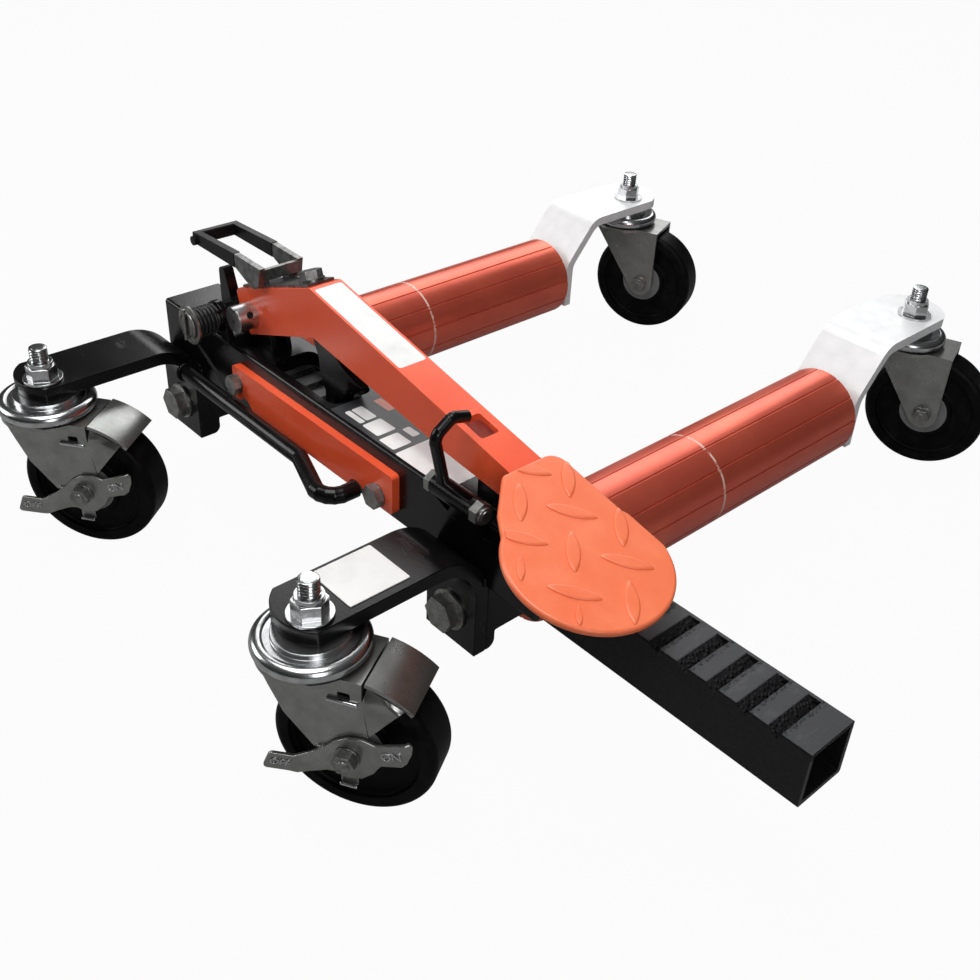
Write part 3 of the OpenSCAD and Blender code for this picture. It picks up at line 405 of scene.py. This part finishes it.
# The foot plate is pressed tread sheet in a lighter, salmon orange. The paint
# is softer there, with pale dust in the hollows.
salmon = Finish("salmon enamel", (0.9, 0.19, 0.075), 0.42, coat=0.1)
dust = salmon.noise(22, 6.0, 0.65)
fleck = salmon.noise(3.2, 5.0, 0.7).rise(0.6, 0.72)
salmon.paint(
    fleck * dust.rise(0.5, 0.75) * 0.6,
    salmon.blend(dust.rise(0.3, 0.8), (0.88, 0.170, 0.062), (0.93, 0.215, 0.092)),
    (0.95, 0.42, 0.25))
salmon.feed("Roughness", dust * 0.16 + 0.32)
salmon.bump(salmon.noise(1.8, 3.0), 0.08, 0.6)
soften("foot_plate", salmon, 2.0, 4)

# Raised tread marks on the foot plate: two rows of lens shapes that lie across
# each other at about 40 degrees, pressed up from the sheet.
pedal_fall, pedal_height, plate_thick = math.atan(0.2108), 221, 5
u_dir = Vector((math.cos(pedal_fall), 0, -math.sin(pedal_fall)))
w_dir = Vector((math.sin(pedal_fall), 0, math.cos(pedal_fall)))
mark_length, mark_width, mark_height = 15.4, 0.286, 0.95
marks = (
    (222, -28, -40, mark_length), (266, -28, -40, mark_length), (310, -26, -40, mark_length),
    (243, -7.3, 40, mark_length), (288, -7.2, 40, mark_length), (288, -48.5, 40, mark_length),
    (243, -46.5, 40, mark_length), (222.5, 10, -40, mark_length), (267, 9.5, -40, mark_length),
    (260, -62, -40, 9), (203, -6, 40, mark_length), (301, -57.5, -40, 7))


# A place on the pedal's slope: u down along it, v across it, w up from it.
def on_pedal(u, v, w):
    return at(0, 0, pedal_height) + (u_dir * u + Vector((0, v, 0)) + w_dir * w) / 1000


# The plate's outline, a hair inside its rim: a round nose and two slanting sides.
def on_plate(u, v):
    corner_u, corner_v, corner_r = 210, 9, 8.6
    nose_u, nose_v, nose_r = 276, -25.2, 47.6
    if v > 20 or u < 202:
        return False
    if u < corner_u and v > corner_v:
        return math.hypot(u - corner_u, v - corner_v) <= corner_r
    if u < nose_u:
        return v > -20.5 - (u - 200) * 1.045 and v > -42.8 - (u - 222) * 0.677
    return math.hypot(u - nose_u, v - nose_v) < nose_r


for count, (u, v, turn, half) in enumerate(marks):
    bpy.ops.object.select_all(action="DESELECT")
    bpy.ops.mesh.primitive_uv_sphere_add(segments=40, ring_count=20, radius=1)
    lens = bpy.context.object
    lens.name = "tread_mark_%d" % (count + 1)
    angle = math.radians(turn)
    for vert in lens.data.vertices:
        s, c, h = vert.co
        # a lens outline: two arcs that meet in points, with a flattened top
        a, b = s * half, c * half * mark_width * (1 - 0.35 * s * s)
        du = a * math.cos(angle) - b * math.sin(angle)
        dv = a * math.sin(angle) + b * math.cos(angle)
        reach = 1.0
        while not on_plate(u + reach * du, v + reach * dv):
            reach -= 0.02
        rise = mark_height * min(1, 1.7 * h) + 0.12 * h if h > 0 else h * 0.4
        vert.co = on_pedal(u + reach * du, v + reach * dv, plate_thick + rise)
    lens.data.materials.append(salmon.material)
    bpy.ops.object.shade_smooth()
    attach(lens, "foot_pedal")

# Rollers: grooved tube, anodised red. The metal shows fine lines from drawing
# along its length, and a bright ring is scribed round it near the middle.
red = Finish("anodised red", (0.72, 0.13, 0.075), 0.36, metal=0.6)
drawn = red.noise(1.5, 4.0, 0.6, (1, 0.02, 1))
cloud = red.noise(60, 3.0)
ring_y = (203 - middle_y) / 1000
off_ring = abs(red.y - ring_y + (red.noise(14, 3.0) - 0.5) * 0.0012)
ring = (1 - off_ring.rise(0.0007, 0.0013)) * red.noise(6, 4.0, 0.7).rise(0.36, 0.5)
red.paint(
    ring * 0.85,
    red.blend(cloud.rise(0.3, 0.7), (0.7, 0.115, 0.07), (0.8, 0.15, 0.085)),
    (0.85, 0.62, 0.55))
red.feed("Roughness", drawn * 0.14 + ring * 0.2 + 0.24)
red.feed("Metallic", 0.6 - ring * 0.4)
red.bump(drawn, 0.04, 0.5)
plug = Finish("bearing plug", (0.02, 0.02, 0.021), 0.55)
plug.bump(plug.noise(1.5, 4.0), 0.1, 0.6)
for side in "ab":
    soften("roller_" + side, red, 0.35, 2, 24)
    soften("plugs_" + side, plug, 0.5)

# Far arms: hot-dip galvanised plate, nearly white, with soft frosty patches
# and small grey runs.
zinc = Finish("hot-dip zinc", (0.85, 0.86, 0.87), 0.45, metal=0.15)
frost = zinc.cells(14)
mist = zinc.noise(20, 6.0, 0.65)
run = zinc.noise(6, 5.0, 0.7).rise(0.58, 0.74)
zinc.paint(
    run * 0.35,
    zinc.blend((frost * 0.4 + mist * 0.7).rise(0.3, 0.9), (0.9, 0.905, 0.91), (0.8, 0.81, 0.82)),
    (0.6, 0.62, 0.64))
zinc.feed("Roughness", mist * 0.25 + 0.3)
zinc.bump(mist + frost * 0.3, 0.18, 0.6)
for side in "ab":
    soften("far_arm_" + side, zinc, 1.2, 3)

# Caster forks and brake levers: pressed sheet, zinc plated, grey with a faint
# greenish bloom. The ball races and stems are turned and shine more.
sheet = Finish("zinc sheet", (0.3, 0.305, 0.3), 0.36, metal=0.9)
bloom = sheet.noise(16, 5.0, 0.6)
rub = sheet.noise(3, 5.0, 0.7, (1, 1, 0.3))
sheet.paint(bloom.rise(0.35, 0.75), (0.34, 0.345, 0.335), (0.25, 0.255, 0.24))
sheet.feed("Roughness", bloom * 0.12 + rub * 0.06 + 0.2)
sheet.bump(bloom, 0.03, 0.3)
bright = Finish("bright zinc", (0.42, 0.425, 0.43), 0.26, metal=1.0)
haze = bright.noise(8, 5.0, 0.6)
bright.paint(haze.rise(0.35, 0.75), (0.6, 0.61, 0.62), (0.44, 0.445, 0.45))
bright.feed("Roughness", haze * 0.12 + 0.16)
bright.bump(bright.noise(3, 2.0, 0.5, (1, 1, 4)), 0.01, 0.3)
hexed = Finish("zinc bolt", (0.3, 0.3, 0.28), 0.36, metal=0.95)
stain = hexed.noise(5, 5.0, 0.65)
hexed.paint(stain.rise(0.35, 0.7), (0.3, 0.3, 0.29), (0.18, 0.178, 0.165))
hexed.feed("Roughness", stain * 0.22 + 0.24)
hexed.bump(stain, 0.08, 0.5)
# Swivel axes on the drawing. Above its nut a stem is drawn in, which leaves room
# for the thread that is wound round it further on.
stems = {"near_a": (-158, -142), "near_b": (174, -142),
         "far_a": (-155.3, 479), "far_b": (176.7, 479)}
nut_top, shank_r, drawn_in = 0.1438, 0.0066, 0.14
for place, axis in stems.items():
    soften("fork_" + place, sheet, 0.6, 2, 40)
    stem = soften("stem_" + place, bright, 0.35, 2, 34)
    for vert in stem.data.vertices:
        aside = Vector((vert.co.x, vert.co.y, 0)) - at(*axis, 0)
        if vert.co.z > nut_top and aside.length < shank_r:
            vert.co.x -= aside.x * drawn_in
            vert.co.y -= aside.y * drawn_in
    soften("bolt_" + place, hexed, 0.5, 2, 34)
for side in "ab":
    soften("axle_" + side, hexed, 0.8, 2)
soften("guard_bolts", hexed, 0.6)
# the hook's hinge is painted between its two lugs, and its pin's ends are bare
lug_left, lug_right = 149.3, 186.1
hinge.data.materials.append(hexed.material)
for face in hinge.data.polygons:
    x = face.center.x * 1000 + middle_x
    if x < lug_left or x > lug_right:
        face.material_index = 1
soften("pawl_shaft", hexed, 0.6)
soften("shaft_clip", hexed, 0, angle=50)

# Pressed details of the near forks: a lip lanced out under the square hole, a
# small foot at the lower corner, and the brake's stop plate behind the lever. The
# lip, the foot and the stop plate's lip get the brighter zinc finish as a painted
# highlight on their edges.
near_turn = {"a": 36.8, "b": 30.4}
# the bright finish on a bit of the pressed sheet is a painted highlight
fork_bits = (("lip", (17.5, -22.7, 90.2), (36.5, -20.4, 92.8), bright, 0.0008),
             ("foot", (10.5, -21.6, 50.4), (18.5, -20.4, 52.6), bright, 0.0008),
             ("stop", (24.8, -20.95, 27.6), (35.8, -20.4, 50), sheet, 0.0002),
             ("stop_lip", (24.8, -23.8, 26), (35.8, -20.6, 28.2), bright, 0.0008))


# A place in a near caster's own axes: lx along its trail, ly along its axle.
def on_fork(side, lx, ly, lz):
    x, y = stems["near_" + side]
    turn = math.radians(near_turn[side])
    return at(x + lx * math.cos(turn) - ly * math.sin(turn),
              y + lx * math.sin(turn) + ly * math.cos(turn), lz)


for side in "ab":
    for name, low, high, finish, round_off in fork_bits:
        bpy.ops.object.select_all(action="DESELECT")
        bpy.ops.mesh.primitive_cube_add(size=1)
        piece = bpy.context.object
        piece.name = "fork_%s_%s" % (name, side)
        for vert in piece.data.vertices:
            vert.co = on_fork(side, *(
                l + (h - l) * (c + 0.5) for l, h, c in zip(low, high, vert.co)))
        piece.data.materials.append(finish.material)
        edge = piece.modifiers.new("edge", "BEVEL")
        edge.width, edge.segments = round_off, 3
        bpy.ops.object.modifier_apply(modifier="edge")
        bpy.ops.object.shade_smooth_by_angle(angle=math.radians(30))
        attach(piece, "swivel_near_" + side)

# Brake levers: stamped from zinc-plated sheet, outside each near fork. One
# end is bent out as the OFF tab, the other is the ON tab with a rolled lip.
lean, lever_thick = math.radians(22), 0.0024
wheel_x, wheel_z, lever_face = 30.3, 50.8, -23.5
outline = ((-22.5, 5), (-11.6, 8.4), (-3.7, 12.4), (5.4, 13.9), (14.5, 11.7), (21.2, 7.1),
           (18.5, -7.9), (12.4, -13), (2.6, -16.9), (-6.5, -16), (-11.5, -10.8), (-17.5, -9.2),
           (-28.8, -9.9), (-39.3, -10.9), (-44.9, -9.1), (-36, 2))
for side in "ab":
    def on_lever(u, v, out):
        return on_fork(side, wheel_x + u * math.cos(lean) - v * math.sin(lean),
                       lever_face - out, wheel_z + u * math.sin(lean) + v * math.cos(lean))

    # the OFF tab is bent out and has rounded far corners
    near_hi, near_lo = Vector((-36, 2, 0)), Vector((-44.9, -9.1, 0))
    away = Vector((-0.723, 0.584, 0.375))
    off_tab = [near_hi, near_lo, near_lo + away * 13] + [
        near_lo.lerp(near_hi, share) + away * reach
        for share, reach in ((0.06, 14.5), (0.16, 15.2), (0.86, 14.4), (0.96, 13.6), (1, 12))]
    # the ON tab ends in a lip that is rolled back
    on_tab = [(21.2, 7.1, 0), (18.5, -7.9, 0), (32.6, -8.4, 0.8), (40.6, 6.9, 0.8)]
    on_lip = [(40.6, 6.9, 0.8), (32.6, -8.4, 0.8), (35.4, -8.0, -1.6), (40.6, -2, -2.6),
              (43.6, 4, -2.2), (43.2, 6.4, -1.2)]
    shape = bmesh.new()
    for ring in ([(u, v, 0) for u, v in outline], off_tab, on_tab, on_lip):
        shape.faces.new([shape.verts.new(on_lever(*point)) for point in ring])
    bmesh.ops.remove_doubles(shape, verts=shape.verts, dist=1e-5)
    bmesh.ops.recalc_face_normals(shape, faces=shape.faces)
    shape.faces.ensure_lookup_table()
    front = on_lever(0, 0, 1) - on_lever(0, 0, 0)
    if shape.faces[0].normal.dot(front) < 0:
        bmesh.ops.reverse_faces(shape, faces=shape.faces)
    lever = show("brake_lever_" + side, shape, sheet)
    bpy.ops.object.select_all(action="DESELECT")
    bpy.ops.mesh.primitive_cylinder_add(vertices=40, radius=0.0052, depth=0.02)
    drill = bpy.context.object
    hub_at = on_lever(0, 0, -1.2)
    tilt = front.to_track_quat("Z", "Y").to_matrix()
    for vert in drill.data.vertices:
        vert.co = hub_at + tilt @ vert.co
    pick_only(lever)
    thick = lever.modifiers.new("sheet", "SOLIDIFY")
    thick.thickness, thick.offset, thick.use_even_offset = lever_thick, -1, True
    hole = lever.modifiers.new("hole", "BOOLEAN")
    hole.object, hole.operation = drill, "DIFFERENCE"
    edge = lever.modifiers.new("edge", "BEVEL")
    edge.width, edge.segments, edge.limit_method = 0.0005, 3, "ANGLE"
    edge.angle_limit = math.radians(28)
    for step in ("sheet", "hole", "edge"):
        bpy.ops.object.modifier_apply(modifier=step)
    smooth_edges(lever, 30)
    bpy.data.objects.remove(drill)
    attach(lever, "brake_lever_" + side)
    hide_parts("brake_" + side)
    # the switch's words are stamped up on its two tabs; they get the brighter zinc
    # finish as a painted highlight on the raised letters
    for word, height, middle, along, up in (
            ("OFF", 7.0, Vector((-40.2, -3.4, 0)) + away * 6.6, -away,
             Vector((0.626, 0.78, 0))),
            ("ON", 8.6, Vector((28.8, -0.6, 0.45)), Vector((0.995, 0, 0.05)),
             Vector((0.1, 0.995, 0)))):
        bpy.ops.object.select_all(action="DESELECT")
        bpy.ops.object.text_add()
        letters = bpy.context.object
        letters.name = "brake_%s_%s" % (word.lower(), side)
        letters.data.body = word
        letters.data.size, letters.data.extrude = height, 0.5
        letters.data.bevel_depth = 0.12
        letters.data.resolution_u = 3
        letters.data.align_x, letters.data.align_y = "CENTER", "CENTER"
        bpy.ops.object.convert(target="MESH")
        letters = bpy.context.object
        face_out = along.cross(up).normalized()
        if face_out.z < 0:
            face_out = -face_out
        for vert in letters.data.vertices:
            across, upward, out = vert.co
            vert.co = on_lever(*(middle + along * across + up * upward + face_out * out))
        # the brighter finish on the letters is a painted highlight
        letters.data.materials.clear()
        letters.data.materials.append(bright.material)
        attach(letters, "brake_lever_" + side)

# Threads on the caster stems above their nuts: a rolled half-inch thread, made
# as a cylinder whose radius follows the helix.
thread_low, thread_high, thread_r, thread_depth, thread_pitch = 144.2, 155.45, 6.5, 0.85, 2.1
rows, sides, end_round = 56, 36, 0.8
for place, (x, y) in stems.items():
    shape = bmesh.new()
    grid = []
    for row in range(rows + 1):
        z = thread_low + (thread_high - thread_low) * row / rows
        line = []
        for k in range(sides):
            turn = k / sides
            wave = abs((z / thread_pitch - turn) % 1 - 0.5) * 2
            r = thread_r - thread_depth * wave - (end_round if row == rows else 0)
            line.append(shape.verts.new(at(
                x + r * math.cos(turn * math.tau), y + r * math.sin(turn * math.tau), z)))
        grid.append(line)
    for low, high in zip(grid, grid[1:]):
        join_rings(shape, low, high)
    shape.faces.new(grid[-1])
    shape.faces.new(grid[0][::-1])
    thread = show("thread_" + place, shape, bright)
    pick_only(thread)
    bpy.ops.object.shade_smooth_by_angle(angle=math.radians(40))
    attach(thread, "sliding_half" if place.endswith("_a") else "sleeve_half")

# Wheels: solid black rubber on a grey hub. The tread is dull from rolling and
# the walls keep a slight shine from the mould.
rubber = Finish("caster rubber", (0.004, 0.004, 0.005), 0.45, sheen=0.07)
scrub = rubber.noise(12, 6.0, 0.65)
rubber.paint(scrub.rise(0.4, 0.8), (0.0025, 0.0025, 0.003), (0.009, 0.009, 0.009))
rubber.feed("Roughness", scrub * 0.25 + 0.3)
rubber.bump(rubber.noise(0.9, 3.0) + scrub, 0.08, 0.5)
hub = Finish("hub plastic", (0.16, 0.163, 0.168), 0.5)
hub.paint(hub.noise(10, 5.0), (0.13, 0.133, 0.138), (0.2, 0.203, 0.208))
hub.bump(hub.noise(1.2, 3.0), 0.06, 0.5)
for place in stems:
    soften("tyre_" + place, rubber, 0.7, 2)
    soften("hub_" + place, hub, 0.8, 2)

# Pivot pin, lever, strip and nut of the pedal: bare or zinc-plated steel that
# is handled a lot, with darker oil marks.
steel = Finish("handled steel", (0.3, 0.3, 0.3), 0.38, metal=0.95)
oil = steel.noise(7, 6.0, 0.65)
steel.paint(oil.rise(0.35, 0.75), (0.24, 0.24, 0.24), (0.09, 0.087, 0.08))
steel.feed("Roughness", oil * 0.25 + 0.25)
steel.bump(steel.noise(1.2, 4.0, 0.6, (0.3, 1, 1)), 0.06, 0.6)
turned = Finish("turned pin", (0.56, 0.565, 0.57), 0.3, metal=1.0)
turned.feed("Roughness", turned.noise(5, 4.0) * 0.2 + 0.2)
turned.bump(turned.noise(0.8, 2.0, 0.5, (1, 6, 1)), 0.03, 0.5)
dip = Finish("dipped grip", (0.008, 0.008, 0.009), 0.3, sheen=0.12)
dip.feed("Roughness", dip.noise(12, 4.0) * 0.16 + 0.22)
dip.bump(dip.noise(6, 3.0), 0.12, 0.6)
soften("pedal_strip", steel, 0.4)
soften("release_lever", steel, 0.5)
soften("lever_grip", dip, 1.4, 3)
soften("pivot_pin", turned, 0, angle=30)

# Torsion spring: black spring wire. It is wound again here with a round
# section, along the same route as the solid's.
wire = Finish("black spring wire", (0.02, 0.02, 0.021), 0.32, metal=0.4)
wire.feed("Roughness", wire.noise(4, 4.0) * 0.2 + 0.24)
wire.bump(wire.noise(1.0, 3.0), 0.03, 0.5)
shaft_x, shaft_z, coil_y = -113, 162, -26.2
coil_r, wire_r, coil_pitch, coils = 10.2, 1.2, 3.15, 5
coil_start, coil_step = 70, 15
leg_end = Vector((-84, -35.5, 116.5))
leg_x, leg_z = leg_end.x - shaft_x, leg_end.z - shaft_z
leg_turn = math.degrees(math.atan2(leg_z, leg_x)) - math.degrees(
    math.acos(coil_r / math.hypot(leg_x, leg_z)))
wound = coils * 360 + leg_turn + 360 - coil_start
count = int(wound / coil_step)
coil = []
for k in range(count + 1):
    turn = coil_start + wound * k / count
    coil.append(Vector((shaft_x + coil_r * math.cos(math.radians(turn)),
                        coil_y - coil_pitch * (turn - coil_start) / 360,
                        shaft_z + coil_r * math.sin(math.radians(turn)))))
tail = Vector((math.sin(math.radians(coil_start)), 0, -math.cos(math.radians(coil_start))))
route = [coil[0] + 4.8 * tail, coil[0] + 2.4 * tail] + coil + [
    coil[-1].lerp(leg_end, share) for share in (0.04, 0.1, 0.3, 0.6, 0.9, 1.0)]
shape = bmesh.new()
rings = []
for k, point in enumerate(route):
    along = (route[min(k + 1, len(route) - 1)] - route[max(k - 1, 0)]).normalized()
    across = along.cross(Vector((0, 1, 0))).normalized()
    rings.append(ring_round(shape, point, across, across.cross(along), wire_r, 12))
for low, high in zip(rings, rings[1:]):
    join_rings(shape, low, high)
shape.faces.new(rings[0])
shape.faces.new(rings[-1])
bmesh.ops.recalc_face_normals(shape, faces=shape.faces)
for face in shape.faces:
    face.smooth = len(face.verts) == 4
spring = show("torsion_spring", shape, wire)
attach(spring, "sleeve_half")
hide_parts("pawl_spring")

# Small plate on top of the near right arm: thin aluminium with white enamel,
# riveted on and left bare.
enamel = Finish("white plate", (0.78, 0.78, 0.76), 0.35)
smudge = enamel.noise(20, 5.0, 0.6)
enamel.paint(smudge.rise(0.4, 0.8), (0.8, 0.8, 0.785), (0.7, 0.7, 0.69))
enamel.feed("Roughness", smudge * 0.2 + 0.28)
enamel.bump(enamel.noise(3, 3.0), 0.03, 0.4)
soften("blank_plate", enamel, 0.2)

# Stickers, left bare: a white one on the pedal's slope, and on the sleeve's
# top a grey one with white fields, an orange patch and a white end.
white_film = Finish("white film", (0.8, 0.8, 0.79), 0.3)
white_film.paint(white_film.noise(16, 5.0).rise(0.45, 0.8), (0.82, 0.82, 0.81), (0.72, 0.71, 0.7))
white_film.bump(white_film.noise(5, 3.0), 0.03, 0.4)
grey_film = Finish("grey film", (0.045, 0.047, 0.05), 0.34, sheen=0.25)
grey_film.paint(
    grey_film.noise(12, 5.0).rise(0.4, 0.8), (0.042, 0.044, 0.047), (0.07, 0.073, 0.078))
grey_film.bump(grey_film.noise(4, 3.0), 0.03, 0.4)
orange_film = Finish("orange film", (0.75, 0.13, 0.04), 0.34)
orange_film.paint(
    orange_film.noise(6, 5.0).rise(0.4, 0.8), (0.78, 0.13, 0.04), (0.66, 0.12, 0.045))
orange_film.bump(orange_film.noise(4, 3.0), 0.03, 0.4)


# A sheet from low to high with round corners. lay() puts its places on the jack,
# and it starts a hair under base, so that no gap shows below it.
def sticker(name, body, finish, low, high, corner, base, thick, lay):
    left, right = low[0] + corner, high[0] - corner
    bottom, top = low[1] + corner, high[1] - corner
    ring = []
    for x, y, start in ((right, top, 0), (left, top, 90), (left, bottom, 180),
                        (right, bottom, 270)):
        turns = [math.radians(start + 18 * k) for k in range(6)]
        ring += [(x + corner * math.cos(t), y + corner * math.sin(t)) for t in turns]
    shape = bmesh.new()
    upper = [shape.verts.new(lay(u, v, base + thick)) for u, v in ring]
    lower = [shape.verts.new(lay(u, v, base - 0.04)) for u, v in ring]
    shape.faces.new(upper)
    shape.faces.new(lower[::-1])
    join_rings(shape, lower, upper)
    bmesh.ops.recalc_face_normals(shape, faces=shape.faces)
    piece = show(name, shape, finish)
    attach(piece, body)


def on_sleeve(u, v, w):
    return at(u, v, sleeve_top + w)


sticker("pedal_sticker", "foot_pedal", white_film,
        (-3, -10.9), (90, 10.9), 2, 0, 0.12, on_pedal)
sticker("sleeve_sticker_grey", "sleeve_half", grey_film,
        (26, -21.6), (97, 19), 1.5, 0, 0.1, on_sleeve)
sticker("sleeve_sticker_white", "sleeve_half", white_film,
        (96.5, -21.6), (148, 19), 1.5, 0, 0.13, on_sleeve)
sticker("sleeve_sticker_orange", "sleeve_half", orange_film,
        (35, 8), (52, 14.5), 0.6, 0.1, 0.06, on_sleeve)
for count, (low, high) in enumerate((
        ((35.5, -11.2), (53, -2.4)), ((35.5, -16.8), (53.5, -12.4)), ((56, -17.4), (73, -2)),
        ((77, -19.6), (92.5, -4.2)), ((76, 0.5), (88, 6.6)))):
    sticker("sleeve_field_%d" % (count + 1), "sleeve_half", white_film,
            low, high, 1.4, 0.1, 0.06, on_sleeve)

# The floor is a plain pale sweep. The camera and glossy metal see it white,
# and it keeps the jack's soft shadow.
bpy.ops.object.select_all(action="DESELECT")
bpy.ops.mesh.primitive_plane_add(size=40, location=(0, 0, -0.0006))
floor = bpy.context.object
floor.name = "floor"
pale = Finish("pale floor", (0.26, 0.26, 0.26), 0.9, sheen=0.0)
seen, mirrored, through = (
    pale.node("ShaderNodeLightPath", out="Is %s Ray" % kind)
    for kind in ("Camera", "Glossy", "Transmission"))
glow = pale.node("ShaderNodeEmission", {}, {"Color": (1, 1, 1, 1), "Strength": 1.0})
mixed = pale.node("ShaderNodeMixShader", {}, {
    0: seen * 0.96 + (mirrored + through) * 0.06,
    1: Reading(pale, pale.shader.outputs[0]), 2: glow})
pale.plug(mixed, pale.tree.nodes["Material Output"].inputs["Surface"])
floor.data.materials.append(pale.material)

# Studio light: a wide softbox overhead, another behind that draws the shine on
# the tops, and two weak ones at the sides, in a room that darkens downwards.
world = bpy.data.worlds.new("room")
bpy.context.scene.world = world
world.use_nodes = True
room = Nodes(world.node_tree)
back = room.tree.nodes["Background"]
aloft = room.node("ShaderNodeSeparateXYZ", {}, {
    0: room.node("ShaderNodeTexCoord", out="Generated")}, out="Z")
low_light, high_light, all_high = 0.01, 0.08, 0.9
light = room.node("ShaderNodeMapRange", {}, {
    0: aloft, 1: 0.0, 2: all_high, 3: low_light, 4: high_light})
room.plug((1, 1, 1, 1), back.inputs["Color"])
room.plug(room.node("ShaderNodeMix", {"data_type": "FLOAT"}, {
    0: room.node("ShaderNodeLightPath", out="Is Camera Ray"), 2: light, 3: 1.0}),
    back.inputs["Strength"])
for name, place, aim, size, power in (
        ("overhead", (-0.15, -0.4, 1.9), (0, 0, 0), (1.4, 0.9), 27),
        ("behind", (-1.3, 1.27, 1.3), (0, 0, 0.1), (1.8, 1.2), 20),
        ("left", (-1.5, -1.2, 0.9), (0, 0, 0.1), (0.8, 0.8), 11),
        ("right", (1.5, -0.9, 1.0), (0, 0, 0.1), (0.6, 1.2), 9)):
    lamp = bpy.data.objects.new(name, bpy.data.lights.new(name, "AREA"))
    bpy.context.scene.collection.objects.link(lamp)
    lamp.data.shape = "RECTANGLE"
    lamp.data.size, lamp.data.size_y = size
    lamp.data.energy = power
    lamp.location = place
    lamp.rotation_euler = (Vector(aim) - Vector(place)).to_track_quat("-Z", "Y").to_euler()

bpy.context.view_layer.update()
